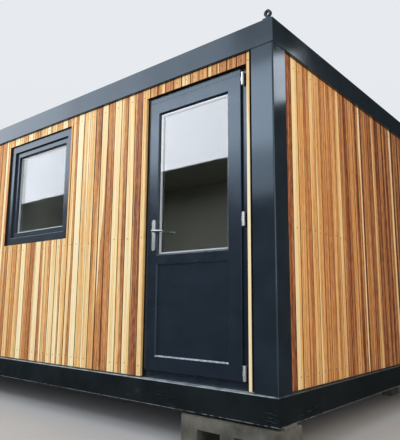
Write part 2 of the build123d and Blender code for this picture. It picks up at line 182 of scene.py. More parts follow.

# %% [markdown]
# Pale dust lies on the ledges that face up, and with it a painted highlight where the sky lights
# them. The dust is a thin layer on the paint and not a colour of it, so a mask made from the
# direction of the surface lays it on, and dulls the gloss in the same places. On the right-hand
# side and on the open top of the roof ring the layer is weaker: painted shade.

# %%
# Pale dust and painted highlight on what faces up, broken in patches of 45 mm
upward = add(paint, "SeparateXYZ", {"Vector": add(paint, "NewGeometry").outputs["Normal"]})
upward_dust_and_highlight = add(paint, "MapRange", {"Value": upward.outputs["Z"], "From Min": 0.2, "From Max": 0.7})
patch = add(paint, "TexNoise", {"Vector": place, "Scale": 22.0, "Detail": 4.0})
broken = add(paint, "MapRange", {"Value": patch.outputs["Fac"], "From Min": 0.35,
                                 "From Max": 0.6, "To Min": 0.45})
right_ledges, roof_ring_top = 2.960, 2.70
along_x = add(paint, "SeparateXYZ", {"Vector": place}).outputs["X"]
# Less of the pale layer right of right_ledges and on the roof ring top: painted shade
right_side_shade = add(paint, "MapRange", {"Value": along_x, "From Min": right_ledges,
                                 "From Max": right_ledges + 0.015, "To Min": 1.0, "To Max": 0.2})
roof_top_shade = add(paint, "MapRange", {"Value": height, "From Min": roof_ring_top,
                                    "From Max": roof_ring_top + 0.02, "To Min": 1.0,
                                    "To Max": 0.4})
ledge_shade = add(paint, "Math", {0: right_side_shade.outputs["Result"], 1: roof_top_shade.outputs["Result"]},
             operation="MULTIPLY")
ledge_dust_and_highlight = add(paint, "Math", {0: upward_dust_and_highlight.outputs["Result"], 1: ledge_shade.outputs["Value"]},
              operation="MULTIPLY")
dust = add(paint, "Math", {0: ledge_dust_and_highlight.outputs["Value"], 1: broken.outputs["Result"]},
           operation="MULTIPLY")
print("rain washes what lies right of", right_ledges, "m or above", roof_ring_top, "m")

# %%
# The painted surface, on posts, beams and lifting eyes
# The pale colour on the ledges is dust and painted highlight together
colour = add(paint, "Mix", {0: dust.outputs["Value"], 6: scratched.outputs[2],
                            7: linear("#b3bdc4")}, data_type="RGBA")
gloss = add(paint, "MapRange", {"Value": film.outputs["Fac"], "From Min": 0.3, "From Max": 0.7,
                                "To Min": 0.11, "To Max": 0.15})
duller = add(paint, "Math", {0: dust.outputs["Value"], 1: 0.5, 2: gloss.outputs["Result"]},
             operation="MULTIPLY_ADD")
peel = add(paint, "TexNoise", {"Vector": place, "Scale": 160.0, "Detail": 2.0})  # 6 mm waves
bump = add(paint, "Bump", {"Height": peel.outputs["Fac"], "Strength": 0.012, "Distance": 0.002})
# The bluish Specular Tint is a painted reflection of a blue sky in the gloss
surface = add(paint, "BsdfPrincipled", {
    "Base Color": colour.outputs[2], "Roughness": duller.outputs["Value"],
    "Normal": bump.outputs["Normal"], "IOR": 1.5, "Specular IOR Level": 0.85,
    "Specular Tint": linear("#d5ecff")})
add(paint, "OutputMaterial", {"Surface": surface.outputs["BSDF"]})
corners = ("front_left", "front_right", "rear_right", "rear_left")
sides = ("front", "rear", "left", "right")
wear(paint, *["floor_beam_" + s for s in sides], *["roof_beam_" + s for s in sides],
     *["corner_post_" + c for c in corners], *["lifting_eye_" + c for c in corners])
print("painted", len([n for n in nodes if nodes[n].data.materials[0] == paint]), "solids")

# %% [markdown]
# ## Powder-coated joinery
#
# Door and window are anthracite powder coat, baked on at the works: finer and more even than the
# site paint, with a grain of about 1 mm, which makes its gloss as soft as satin. The recipe of
# the site paint would do too, but with less patchiness, no scratches from lifting, and a slightly
# bluer tint. Rain leaves pale dirt on the bevels that face up, and a painted highlight lies there
# with it.

# %%
# Satin powder coat, and the dirt and painted highlight on its ledges
coat = finish_named("anthracite_powder_coat")
place = add(coat, "TexCoord").outputs["Object"]
film = add(coat, "TexNoise", {"Vector": place, "Scale": 7.0, "Detail": 3.0})  # 140 mm patches
tint = add(coat, "ValToRGB", {"Fac": film.outputs["Fac"]},
           stops=[(0.3, "#202832"), (0.7, "#242d38")])
upward = add(coat, "SeparateXYZ", {"Vector": add(coat, "NewGeometry").outputs["Normal"]})
upward_dust_and_highlight = add(coat, "MapRange", {"Value": upward.outputs["Z"], "From Min": 0.3, "From Max": 0.6})
patch = add(coat, "TexNoise", {"Vector": place, "Scale": 60.0, "Detail": 4.0})  # 16 mm patches
broken = add(coat, "MapRange", {"Value": patch.outputs["Fac"], "From Min": 0.35,
                                "From Max": 0.62, "To Min": 0.3})
# The ledge under the door glass is wiped each time the door is opened
glass_foot = 1.264
height = add(coat, "SeparateXYZ", {"Vector": place}).outputs["Z"]
at_glass = add(coat, "Math", {0: height, 1: glass_foot, 2: 0.03}, operation="COMPARE")
wiped = add(coat, "MapRange", {"Value": at_glass.outputs["Value"], "To Min": 1.0, "To Max": 0.2})
kept_dust_and_highlight = add(coat, "Math", {0: upward_dust_and_highlight.outputs["Result"], 1: wiped.outputs["Result"]},
                 operation="MULTIPLY")
dirt_and_highlight = add(coat, "Math", {0: kept_dust_and_highlight.outputs["Value"], 1: broken.outputs["Result"]},
           operation="MULTIPLY")
# Pale dirt and painted highlight on the bevels that face up
colour = add(coat, "Mix", {0: dirt_and_highlight.outputs["Value"], 6: tint.outputs["Color"],
                           7: linear("#bcc7d1")}, data_type="RGBA")
print("the wiped ledge is", glass_foot, "m above the ground")

# %%
# Wiped smears 110 mm wide, where hands and ladders touch it, and the coated surface
smears = add(coat, "TexNoise", {"Vector": place, "Scale": 9.0, "Detail": 5.0, "Distortion": 1.0})
smear = add(coat, "MapRange", {"Value": smears.outputs["Fac"], "From Min": 0.60,
                               "From Max": 0.74, "To Max": 0.07})
dirty = add(coat, "Math", {0: dirt_and_highlight.outputs["Value"], 1: smear.outputs["Result"]},
            operation="MAXIMUM")
gloss = add(coat, "MapRange", {"Value": film.outputs["Fac"], "From Min": 0.3, "From Max": 0.7,
                               "To Min": 0.20, "To Max": 0.26})
duller = add(coat, "Math", {0: dirty.outputs["Value"], 1: 0.5, 2: gloss.outputs["Result"]},
             operation="MULTIPLY_ADD")
grain = add(coat, "TexNoise", {"Vector": place, "Scale": 700.0, "Detail": 1.0})  # 1.4 mm
bump = add(coat, "Bump", {"Height": grain.outputs["Fac"], "Strength": 0.04, "Distance": 0.001})
# The bluish Specular Tint is a painted reflection of a blue sky in the gloss
surface = add(coat, "BsdfPrincipled", {
    "Base Color": colour.outputs[2], "Roughness": duller.outputs["Value"],
    "Normal": bump.outputs["Normal"], "IOR": 1.5, "Specular IOR Level": 0.85,
    "Specular Tint": linear("#d5ecff")})
add(coat, "OutputMaterial", {"Surface": surface.outputs["BSDF"]})
wear(coat, "door_frame", "door_leaf_frame", "door_panel", "window_frame", "window_sash")
print("powder coat on", ", ".join(n for n in nodes if nodes[n].data.materials[0] == coat))

# %% [markdown]
# ## Larch
#
# The boards are planed larch, oiled once, which leaves a smooth face with a low sheen. Larch
# sapwood is nearly white and its heartwood runs from honey to red brown, and many boards hold
# both, with a border that slants up the board. A picture of wood would repeat itself; a recipe in
# nodes can vary every board. Each board's mesh carries five values: `tone` and `other_tone`,
# `border`, which is the distance across the board from the line between the two, `depth` below
# its face, and `grain`, its own coordinates in metres, shifted so that no two boards share a knot.

# %%
# Oiled larch, coloured by the values that each board carries
larch = finish_named("oiled_larch")
tone = add(larch, "Attribute", attribute_name="tone").outputs["Fac"]
other_tone = add(larch, "Attribute", attribute_name="other_tone").outputs["Fac"]
border = add(larch, "Attribute", attribute_name="border").outputs["Fac"]
depth = add(larch, "Attribute", attribute_name="depth").outputs["Fac"]
along = add(larch, "Attribute", attribute_name="grain").outputs["Vector"]
# The border wanders by a tenth of the board over 0.7 m
drawn = add(larch, "Mapping", {"Vector": along, "Scale": (9.0, 9.0, 1.4)})
drift = add(larch, "TexNoise", {"Vector": drawn.outputs["Vector"], "Scale": 1.0, "Detail": 3.0})
wander = add(larch, "MapRange", {"Value": drift.outputs["Fac"], "From Min": 0.3, "From Max": 0.7,
                                 "To Min": -0.12, "To Max": 0.12})
line = add(larch, "Math", {0: border, 1: wander.outputs["Result"]})
beyond = add(larch, "MapRange", {"Value": line.outputs["Value"], "From Min": -0.03,
                                 "From Max": 0.03})
both = add(larch, "Mix", {0: beyond.outputs["Result"], 2: tone, 3: other_tone}, data_type="FLOAT")
print("sapwood and heartwood take", len(larch.node_tree.nodes), "nodes")

# %% [markdown]
# Growth rings are cylinders round the pith, so they come from a ring pattern, and the face of the
# board cuts them, as the saw does. Streaks, fibres and flecks run along the board. A wave pattern
# would look combed, so each is a noise squeezed across the board and drawn out along it. All four
# add a little to the tone or take a little away, and one row of colours turns the sum into wood.

# %%
# Streaks, rings, fibres and flecks
# Streaks 13 mm wide and a metre long
stretched = add(larch, "Mapping", {"Vector": along, "Scale": (75.0, 75.0, 0.9)})
streaks = add(larch, "TexNoise", {"Vector": stretched.outputs["Vector"], "Scale": 1.0,
                                  "Detail": 3.0})
streak = add(larch, "MapRange", {"Value": streaks.outputs["Fac"], "From Min": 0.28,
                                 "From Max": 0.72, "To Min": -0.22, "To Max": 0.22})
# Growth rings 5 mm apart, with the trunk's slow bends along the board
trunk = add(larch, "Mapping", {"Vector": along, "Scale": (1.0, 1.0, 0.03)})
rings = add(larch, "TexWave", {"Vector": trunk.outputs["Vector"], "Scale": 62.0, "Distortion": 5.0,
                               "Detail": 2.0, "Detail Scale": 0.35},
            wave_type="RINGS", rings_direction="Z", wave_profile="SAW")
ring = add(larch, "MapRange", {"Value": rings.outputs["Fac"], "To Min": -0.08, "To Max": 0.13})
# Fibres, drawn 2 mm wide where real ones are 1 mm, so that they show
thin = add(larch, "Mapping", {"Vector": along, "Scale": (500.0, 500.0, 14.0)})
fibre = add(larch, "TexNoise", {"Vector": thin.outputs["Vector"], "Scale": 1.0, "Detail": 2.0})
fibres = add(larch, "MapRange", {"Value": fibre.outputs["Fac"], "From Min": 0.25, "From Max": 0.75,
                                 "To Min": -0.07, "To Max": 0.07})
# Heartwood is mottled in flecks 12 by 60 mm, the more the darker it is
flecked = add(larch, "Mapping", {"Vector": along, "Scale": (80.0, 80.0, 16.0)})
flecks = add(larch, "TexNoise", {"Vector": flecked.outputs["Vector"], "Scale": 1.0, "Detail": 4.0})
fleck = add(larch, "MapRange", {"Value": flecks.outputs["Fac"], "From Min": 0.3, "From Max": 0.7,
                                "To Min": -0.16, "To Max": 0.16})
# A ring pattern turns by 20 radians a metre at a scale of 1
ring_gap = 2 * math.pi / (20 * rings.inputs["Scale"].default_value)
print("growth rings every", round(1000 * ring_gap, 1), "mm")

# %%
# The sum of the four, turned into colours of wood
base_tone = add(larch, "Math", {0: both.outputs[0], 1: streak.outputs["Result"]})
first = add(larch, "Math", {0: fleck.outputs["Result"], 1: both.outputs[0],
                            2: base_tone.outputs["Value"]}, operation="MULTIPLY_ADD")
second = add(larch, "Math", {0: first.outputs["Value"], 1: ring.outputs["Result"]})
shade = add(larch, "Math", {0: second.outputs["Value"], 1: fibres.outputs["Result"]},
            use_clamp=True)
wood = add(larch, "ValToRGB", {"Fac": shade.outputs["Value"]},
           stops=[(0.0, "#feeec4"), (0.15, "#fbe0a6"), (0.32, "#f0c37c"), (0.50, "#dc9d57"),
                  (0.70, "#ba7641"), (0.90, "#8c4e2b"), (1.0, "#62331b")])
print("wood runs through", len(wood.color_ramp.elements), "colours")

# %% [markdown]
# Here and there a side branch left a dark knot. The rounded edges of the boards and all that lies
# deeper in the gaps, which `depth` measures, get a painted shade. Shadow alone would leave the
# edges too pale, so knots and the painted shade of the edges are masks that lay a dark colour over
# the wood.

# %%
# Knots, painted shade on the edges, and the oiled surface
# One cell in a net of 0.6 m holds a knot, 9 mm in radius
net = add(larch, "Mapping", {"Vector": along, "Scale": (2.0, 0.0, 1.6)})
knots = add(larch, "TexVoronoi", {"Vector": net.outputs["Vector"], "Scale": 1.0},
            voronoi_dimensions="3D", feature="F1")
knot = add(larch, "MapRange", {"Value": knots.outputs["Distance"], "From Min": 0.022,
                               "From Max": 0.012})
knotted = add(larch, "Mix", {0: knot.outputs["Result"], 6: wood.outputs["Color"],
                             7: linear("#6b3a1e")}, data_type="RGBA")
# Painted shade: the edges and sides of each board darken into the gaps
painted_gap_shade = add(larch, "MapRange", {"Value": depth, "From Min": 0.0002, "From Max": 0.0018,
                                 "To Max": 0.95})
gap_shaded = add(larch, "Mix", {0: painted_gap_shade.outputs["Result"], 6: knotted.outputs[2],
                           7: linear("#241408")}, data_type="RGBA")
dull = add(larch, "MapRange", {"Value": fibre.outputs["Fac"], "To Min": 0.48, "To Max": 0.68})
bump = add(larch, "Bump", {"Height": fibre.outputs["Fac"], "Strength": 0.25, "Distance": 0.0006})
surface = add(larch, "BsdfPrincipled", {
    "Base Color": gap_shaded.outputs[2], "Roughness": dull.outputs["Result"],
    "Normal": bump.outputs["Normal"], "IOR": 1.45})
add(larch, "OutputMaterial", {"Surface": surface.outputs["BSDF"]})
print("larch recipe has", len(larch.node_tree.nodes), "nodes")

# %% [markdown]
# ## Boards, one by one
#
# The boards stand upright on a grid of 82.5 mm: about 76.5 mm of board and a 6 mm gap, which is
# never kept exactly. Their front edges are rounded to 2 mm. Each one could be a cube with a
# bevel, but it is simpler to draw the cross-section once and pull it up to the head: eight points
# give the body and both rounded edges. Where the window or the door cuts a board, it is made of
# two or three lengths that meet flush, as in one notched board.

# %%
# From a place on a side of the cabin to the frame of the CAD model
half_length, half_width = 3.0, 1.5
outward = {"front": (0, -1, 0), "rear": (0, 1, 0), "left": (-1, 0, 0), "right": (1, 0, 0)}


def on_side(side, u, inset, z):
    # u runs along the side from left to right, seen from outside
    return {
        "front": (u, inset - half_width, z),
        "rear": (-u, half_width - inset, z),
        "left": (inset - half_length, -u, z),
        "right": (half_length - inset, u, z),
    }[side]


def piece(name, mesh, material, body="cabin", smooth=False):
    made = bpy.data.objects.new(name, mesh)
    bpy.context.scene.collection.objects.link(made)
    mesh.materials.append(material)
    for polygon in mesh.polygons:
        polygon.use_smooth = smooth
    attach(made, body)
    return made


print("front face starts at", on_side("front", 0, 0, 0))

# %%
# The cross-section of a board
board_pitch, board_width = 0.0825, 0.0765
board_front, board_back = 0.020, 0.040
board_foot, board_head = 0.395, 2.566
rounding = 0.002


def section(left, right, front, back, r=rounding):
    # a quarter circle stays 0.3 of its radius away from the corner
    return [(left, back), (right, back), (right, front + r), (right - 0.3 * r, front + 0.3 * r),
            (right - r, front), (left + r, front), (left + 0.3 * r, front + 0.3 * r),
            (left, front + r)]


print("a board is", round(1000 * board_width, 1), "mm wide, drawn with",
      len(section(0, board_width, board_front, board_back)), "points")


# %%
# A board: its cross-section pulled upright, with the values that colour it
def raise_board(bm, side, whole, left, right, low, high, look, front=board_front, back=board_back,
                no_gap_shade=False):
    # whole is the uncut board from left to right; the piece from left to right is part of it, and
    # the last flag gives its edges no painted gap shade
    tone, other_tone, line_foot, line_head, shift = look
    layers = bm.verts.layers
    rings = []
    for z in (low, high):
        up = (z - board_foot) / (board_head - board_foot)
        ring = []
        for u, inset in section(left, right, front, back):
            vert = bm.verts.new(on_side(side, u, inset, z))
            across = (u - whole[0]) / (whole[1] - whole[0])
            vert[layers.float["tone"]] = tone
            vert[layers.float["other_tone"]] = other_tone
            vert[layers.float["border"]] = across - line_foot - (line_head - line_foot) * up
            vert[layers.float["depth"]] = 0.0 if no_gap_shade else inset - front
            vert[layers.float_vector["grain"]] = (u - whole[0] + shift[0], inset + shift[1],
                                                  z + shift[2])
            ring.append(vert)
        rings.append(ring)
    count = len(rings[0])
    for i in range(count):
        j = (i + 1) % count
        bm.faces.new((rings[0][i], rings[0][j], rings[1][j], rings[1][i]))
    bm.faces.new(rings[0])
    bm.faces.new(rings[1])


print("boards reach from", board_foot, "to", board_head, "m")


# %%
# An empty mesh for boards, and a finished mesh
def new_boards():
    bm = bmesh.new()
    for name in ("tone", "other_tone", "border", "depth"):
        bm.verts.layers.float.new(name)
    bm.verts.layers.float_vector.new("grain")
    return bm


def mesh_of(bm, name):
    bmesh.ops.recalc_face_normals(bm, faces=bm.faces)
    mesh = bpy.data.meshes.new(name)
    bm.to_mesh(mesh)
    bm.free()
    return mesh


print("edges are rounded by", 1000 * rounding, "mm")

# %% [markdown]
# The order of the boards beside the door follows the real wall, sorted into eight grades of
# larch, one word per board, counted from the door to the left. A hyphen joins the left and the
# right half of a board that holds two grades, a slash the upper and the lower part. The rest of
# the cabin takes its grades from a shuffled mix, with a fixed seed so that every run lays the
# same wall.

# %%
# Grades of larch, and the order in which they stand
grades = {"cream": 0.03, "pale": 0.14, "yellow": 0.29, "honey": 0.46, "orange": 0.58,
          "brown": 0.64, "dark": 0.83, "umber": 0.95}
from_the_door = ("yellow dark pale yellow-brown pale brown pale/brown brown/honey yellow yellow "
                 "cream yellow-brown pale-honey pale-brown pale yellow-brown brown-pale pale "
                 "brown orange cream yellow-honey orange yellow brown cream-honey "
                 "orange orange-brown orange honey-orange brown pale orange honey").split()
over_the_window = ("brown cream honey yellow cream-honey yellow orange yellow-honey cream honey "
                   "yellow cream yellow-honey honey").split()
over_the_door = ("orange orange brown honey yellow honey honey orange brown orange "
                 "brown").split()
# Beside the corner the grades are the wood's own, and run darker as painted shade, where that side
# lies in shade
corner_grades_and_shade = ("dark pale-yellow honey brown-orange yellow-honey honey brown-orange "
                     "orange-brown honey-brown honey-yellow brown dark-brown orange-honey "
                     "brown-dark brown-pale umber-brown orange-brown dark yellow-brown "
                     "dark-umber brown umber-brown dark-brown brown-pale umber-orange "
                     "dark umber-brown dark").split()
mix = ("cream pale pale yellow yellow honey honey orange orange brown brown brown dark "
       "pale-brown yellow-brown honey-pale brown/pale pale/honey").split()
print(len(from_the_door), "boards are placed by grade on the front")


# %%
# A board drawn from its grade
def draw_board(rng, word):
    # Two tones, where the border between them stands at foot and head as a share of the width, and
    # the shift of the grain: sideways, into the trunk, and up
    shift = (rng.uniform(-0.10, 0.02), rng.uniform(0.03, 0.12), rng.uniform(0, 40))
    tones = [grades[grade] + rng.uniform(-0.05, 0.05)
             for grade in word.replace("/", "-").split("-")]
    middle, lean = rng.uniform(0.38, 0.62), rng.uniform(-0.16, 0.16)
    strip = rng.choice((0, 0, -1, 1))
    sapwood, strip_width = max(tones[0] - 0.35, 0.02), 0.16
    if "/" in word:
        return tones[0], tones[1], -0.2, 1.2, shift
    if "-" in word:
        return tones[0], tones[1], middle - lean, middle + lean, shift
    if strip < 0:  # a strip of sapwood along the left edge
        return sapwood, tones[0], strip_width - lean, strip_width + lean, shift
    if strip > 0:  # and along the right edge
        right_strip = 1.0 - strip_width
        return tones[0], sapwood, right_strip - lean, right_strip + lean, shift
    return tones[0], tones[0], 2.0, 2.0, shift


def uneven(rng, left, right, stray=0.0016):
    # Both edges of a board stray by up to 1.6 mm from the even grid
    return left + rng.uniform(-stray, stray), right + rng.uniform(-stray, stray)


print("the first board could be", [round(t, 2) for t in draw_board(random.Random(1), "yellow")[:2]])

# %%
# Where boards end, and the levels of the rails that they are nailed to
long_end, short_end = 2.814, 1.324
lo_x, hi_x, lo_z, hi_z = -0.187, 0.858, 1.465, 2.495  # the hole for the window
door_edge, batten_edge, door_head = 1.840, 2.781, 2.490
rail_levels = (0.469, 1.402, 2.504)
over_window_level, over_door_level = 2.5355, 2.528
print("the window takes", round(hi_x - lo_x, 3), "by", round(hi_z - lo_z, 3), "m out of the boards")

# %%
# Front boards, from the door to the left end
first_edge = 1.8725
front_end = -long_end
nail_places = []
rng = random.Random(4)
bm = new_boards()
index, over_index = 0, 0
while first_edge - index * board_pitch > front_end + 0.01:
    right_line = first_edge - index * board_pitch
    whole = uneven(rng, right_line - board_width, right_line)
    look = draw_board(rng, from_the_door[index] if index < len(from_the_door) else rng.choice(mix))
    left, right = max(whole[0], front_end), min(whole[1], door_edge)
    nail_levels = rail_levels
    if index == 0:
        # The first board is notched round the door frame
        # Its lower length gets no painted gap shade, so its side beside the door shows as wood
        raise_board(bm, "front", whole, left, right, board_foot, door_head, look, no_gap_shade=True)
        raise_board(bm, "front", whole, left, whole[1], door_head, board_head, look)
    elif right <= lo_x or left >= hi_x:
        raise_board(bm, "front", whole, left, right, board_foot, board_head, look)
    else:
        above = draw_board(rng, over_the_window[over_index])
        over_index += 1
        raise_board(bm, "front", whole, left, right, board_foot, lo_z, look)
        raise_board(bm, "front", whole, left, right, hi_z, board_head, above)
        if left < lo_x:
            raise_board(bm, "front", whole, left, lo_x, lo_z, hi_z, look)
        if right > hi_x:
            raise_board(bm, "front", whole, hi_x, right, lo_z, hi_z, look)
        nail_levels = (rail_levels[0], rail_levels[1], over_window_level)
    nail_places += [("front", (left + right) / 2, z) for z in nail_levels]
    index += 1
print(index, "tall boards")

# %%
# Short boards over the door
first_short_edge = first_edge + 0.005
for step, word in enumerate(over_the_door):
    left_line = first_short_edge + step * board_pitch
    whole = uneven(rng, left_line, left_line + board_width)
    left, right = whole[0], min(whole[1], batten_edge)
    raise_board(bm, "front", whole, left, right, door_head, board_head, draw_board(rng, word))
    nail_places.append(("front", (left + right) / 2, over_door_level))
front_boards = piece("front_boards", mesh_of(bm, "front_boards"), larch)
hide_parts("front_cladding", "front_cladding_over_door")
print(len(over_the_door), "short boards; the front has", len(front_boards.data.polygons), "faces")


# %%
# Boards of the other three sides
def clad_side(side, end, order, seed):
    rng = random.Random(seed)
    bm = new_boards()
    gap = board_pitch - board_width
    count = round(2 * end / board_pitch)
    pitch = (2 * end + gap) / count
    for index in range(count):
        start = index * pitch - end
        whole = uneven(rng, start, start + pitch - gap)
        look = draw_board(rng, order[index] if index < len(order) else rng.choice(mix))
        left, right = max(whole[0], -end), min(whole[1], end)
        raise_board(bm, side, whole, left, right, board_foot, board_head, look)
        nail_places.extend((side, (left + right) / 2, z) for z in rail_levels)
    made = piece(side + "_boards", mesh_of(bm, side + "_boards"), larch)
    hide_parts(side + "_cladding")
    return count


for side, end, order, seed in (("right", short_end, corner_grades_and_shade, 11),
                               ("rear", long_end, [], 12), ("left", short_end, [], 13)):
    print(side, "side:", clad_side(side, end, order, seed), "boards")

# %% [markdown]
# The strip between the door and the corner post is one slim batten of clean sapwood, set on edge.
# It is the brightest timber on the cabin. A material of its own would do, but the larch recipe
# already has a tone as pale, and lets it turn yellower towards the head of the batten.

# %%
# The batten beside the door
bm = new_boards()
batten_right, batten_middle, rail_back = 2.805, 2.793, 0.059
batten_look = (0.02, 0.26, 5.0, -0.5, (0.02, 0.05, 7.0))
raise_board(bm, "front", (batten_edge, batten_right), batten_edge, batten_right, board_foot,
            board_head, batten_look, back=rail_back)
nail_places.append(("front", batten_middle, rail_levels[2]))
batten = piece("sapwood_batten", mesh_of(bm, "sapwood_batten"), larch)
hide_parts("door_side_batten")
print("batten", [round(1000 * d) for d in batten.dimensions], "mm")

# %% [markdown]
# ## Rails and membrane behind the boards
#
# The boards are nailed to three level rails of sawn softwood, soaked in brown preservative, and
# behind them hangs a black membrane that lets vapour out and keeps rain off the wall. One sees
# them only through the gaps, as dark lines: rough brown wood and a fleece that swallows light.
# Leaving them out would show the pale wall panel and take the depth from every gap.

# %%
# Preserved softwood and black fleece
sawn = finish_named("preserved_sawn_softwood")
place = add(sawn, "TexCoord").outputs["Object"]
drawn = add(sawn, "Mapping", {"Vector": place, "Scale": (12.0, 12.0, 250.0)})  # saw marks 4 mm
marks = add(sawn, "TexNoise", {"Vector": drawn.outputs["Vector"], "Scale": 1.0, "Detail": 3.0})
tint = add(sawn, "ValToRGB", {"Fac": marks.outputs["Fac"]},
           stops=[(0.3, "#33261a"), (0.7, "#4d3a27")])
bump = add(sawn, "Bump", {"Height": marks.outputs["Fac"], "Strength": 0.5, "Distance": 0.001})
surface = add(sawn, "BsdfPrincipled", {
    "Base Color": tint.outputs["Color"], "Roughness": 0.85,
    "Normal": bump.outputs["Normal"]})
add(sawn, "OutputMaterial", {"Surface": surface.outputs["BSDF"]})
membrane = finish_named("black_fleece_membrane")
place = add(membrane, "TexCoord").outputs["Object"]
fleece = add(membrane, "TexNoise", {"Vector": place, "Scale": 400.0, "Detail": 3.0})  # 2.5 mm
tint = add(membrane, "ValToRGB", {"Fac": fleece.outputs["Fac"]},
           stops=[(0.3, "#0b0b0c"), (0.7, "#17181a")])
surface = add(membrane, "BsdfPrincipled", {
    "Base Color": tint.outputs["Color"], "Roughness": 0.9})
add(membrane, "OutputMaterial", {"Surface": surface.outputs["BSDF"]})
print("membrane recipe has", len(membrane.node_tree.nodes), "nodes")


# %%
# A bar, for rails, sheets and strips
def bar(bm, side, left, right, front, back, low, high, r=0.0015):
    # A bar with its four long edges cut by r, along the side
    ring = [(front + r, low), (back - r, low), (back, low + r), (back, high - r),
            (back - r, high), (front + r, high), (front, high - r), (front, low + r)]
    ends = [[bm.verts.new(on_side(side, u, inset, z)) for inset, z in ring]
            for u in (left, right)]
    for i in range(len(ring)):
        j = (i + 1) % len(ring)
        bm.faces.new((ends[0][i], ends[0][j], ends[1][j], ends[1][i]))
    bm.faces.new(ends[0])
    bm.faces.new(ends[1])


rail_front, rail_half = 0.0402, 0.030
open_runs = [("front", front_end, lo_x), ("front", hi_x, door_edge), ("rear", -long_end, long_end),
             ("left", -short_end, short_end), ("right", -short_end, short_end)]
print("rails are", 2000 * rail_half, "mm high on", len(open_runs) + 2, "runs")

# %%
# Rails and membrane
rails, sheets = bmesh.new(), bmesh.new()
rail_runs = [(*run, level) for run in open_runs for level in rail_levels]
rail_runs += [("front", lo_x, hi_x, level)
              for level in (rail_levels[0], rail_levels[1], over_window_level)]
rail_runs += [("front", door_edge, batten_edge, over_door_level)]
for side, left, right, level in rail_runs:
    bar(rails, side, left, right, rail_front, rail_back, level - rail_half, level + rail_half)
sheet_front, sheet_back, thin_sheet = 0.0592, 0.0598, 0.0002
beside_batten = (2.8055, 2.8285)
for side, left, right, low, high in (
        [(side, left, right, board_foot, board_head) for side, left, right in open_runs]
        + [("front", lo_x, hi_x, board_foot, lo_z), ("front", lo_x, hi_x, hi_z, board_head),
           ("front", door_edge, batten_edge, door_head, board_head),
           ("front", *beside_batten, board_foot, board_head)]):
    bar(sheets, side, left, right, sheet_front, sheet_back, low, high, thin_sheet)
piece("cladding_rails", mesh_of(rails, "cladding_rails"), sawn)
piece("wall_membrane", mesh_of(sheets, "wall_membrane"), membrane)
print(len(rail_runs), "rails")

# %%
# A black strip closes the cut ends of the boards round the door; its black is also painted shade
# under and beside them
strips = bmesh.new()
strip, strip_back, head_strip_front = 0.0012, 0.0630, 0.0300
bar(strips, "front", door_edge, door_edge + strip, board_back, strip_back, board_foot, door_head,
    thin_sheet)
bar(strips, "front", door_edge, batten_edge, head_strip_front, strip_back, door_head - strip,
    door_head, thin_sheet)
piece("door_reveal_strips", mesh_of(strips, "door_reveal_strips"), membrane)
print("strips", 1000 * strip, "mm thick")

# %% [markdown]
# ## Nails and other small heads
#
# Each board is held by one nail at each rail: bare steel that the weather has dulled and browned,
# so that from a few metres one sees only a dark dot. The heads are domed, 9 mm across and 1 mm
# high. They could be drawn in the wood's colour, but then they'd vanish in other light; as small
# turned domes they catch a glint of their own. The same dome, larger, makes the roof screws and
# the caps of the hinges.


# %%
# Domed heads, turned from three rings and a top
def dome(bm, centre, out, radius, rise, points=10):
    centre, out = Vector(centre), Vector(out)
    across = out.orthogonal().normalized()
    up = out.cross(across)
    rings = []
    for share, lift in ((1.0, 0.0), (0.92, 0.55), (0.5, 0.93)):
        rings.append([bm.verts.new(
            centre + out * rise * lift
            + across * radius * share * math.cos(2 * math.pi * k / points)
            + up * radius * share * math.sin(2 * math.pi * k / points)) for k in range(points)])
    top = bm.verts.new(centre + out * rise)
    bm.faces.new(rings[0])
    for inner, outer in zip(rings[1:], rings):
        for k in range(points):
            j = (k + 1) % points
            bm.faces.new((outer[k], outer[j], inner[j], inner[k]))
    for k in range(points):
        bm.faces.new((rings[-1][k], rings[-1][(k + 1) % points], top))


nail_radius, nail_rise = 0.0045, 0.001
print("nail heads are", 2000 * nail_radius, "mm across")

# %%
# Weathered steel, and a nail in each board at each rail
nail_steel = finish_named("weathered_nail_steel")
place = add(nail_steel, "TexCoord").outputs["Object"]
spots = add(nail_steel, "TexNoise", {"Vector": place, "Scale": 900.0})  # 1.1 mm spots
tint = add(nail_steel, "ValToRGB", {"Fac": spots.outputs["Fac"]},
           stops=[(0.35, "#2e241c"), (0.65, "#564a40")])
surface = add(nail_steel, "BsdfPrincipled", {
    "Base Color": tint.outputs["Color"], "Roughness": 0.55, "Metallic": 0.6})
add(nail_steel, "OutputMaterial", {"Surface": surface.outputs["BSDF"]})
rng = random.Random(7)
bm = bmesh.new()
for side, u, z in nail_places:
    u, z = u + rng.uniform(-0.008, 0.008), z + rng.uniform(-0.006, 0.006)
    dome(bm, on_side(side, u, board_front, z), outward[side], nail_radius, nail_rise)
piece("cladding_nails", mesh_of(bm, "cladding_nails"), nail_steel, smooth=True)
print(len(nail_places), "nails")

# %% [markdown]
# ## Insulating glass
#
# Door and window hold units of two 4 mm panes with a 16 mm space between them. The white spacer
# along the edge shows twice or three times, because each pane mirrors it. A single sheet of glass
# would lose that, so both panes are real solids with the index of float glass, 1.52. Rays that
# come from a lamp pass straight through, or else the room behind would stay black.

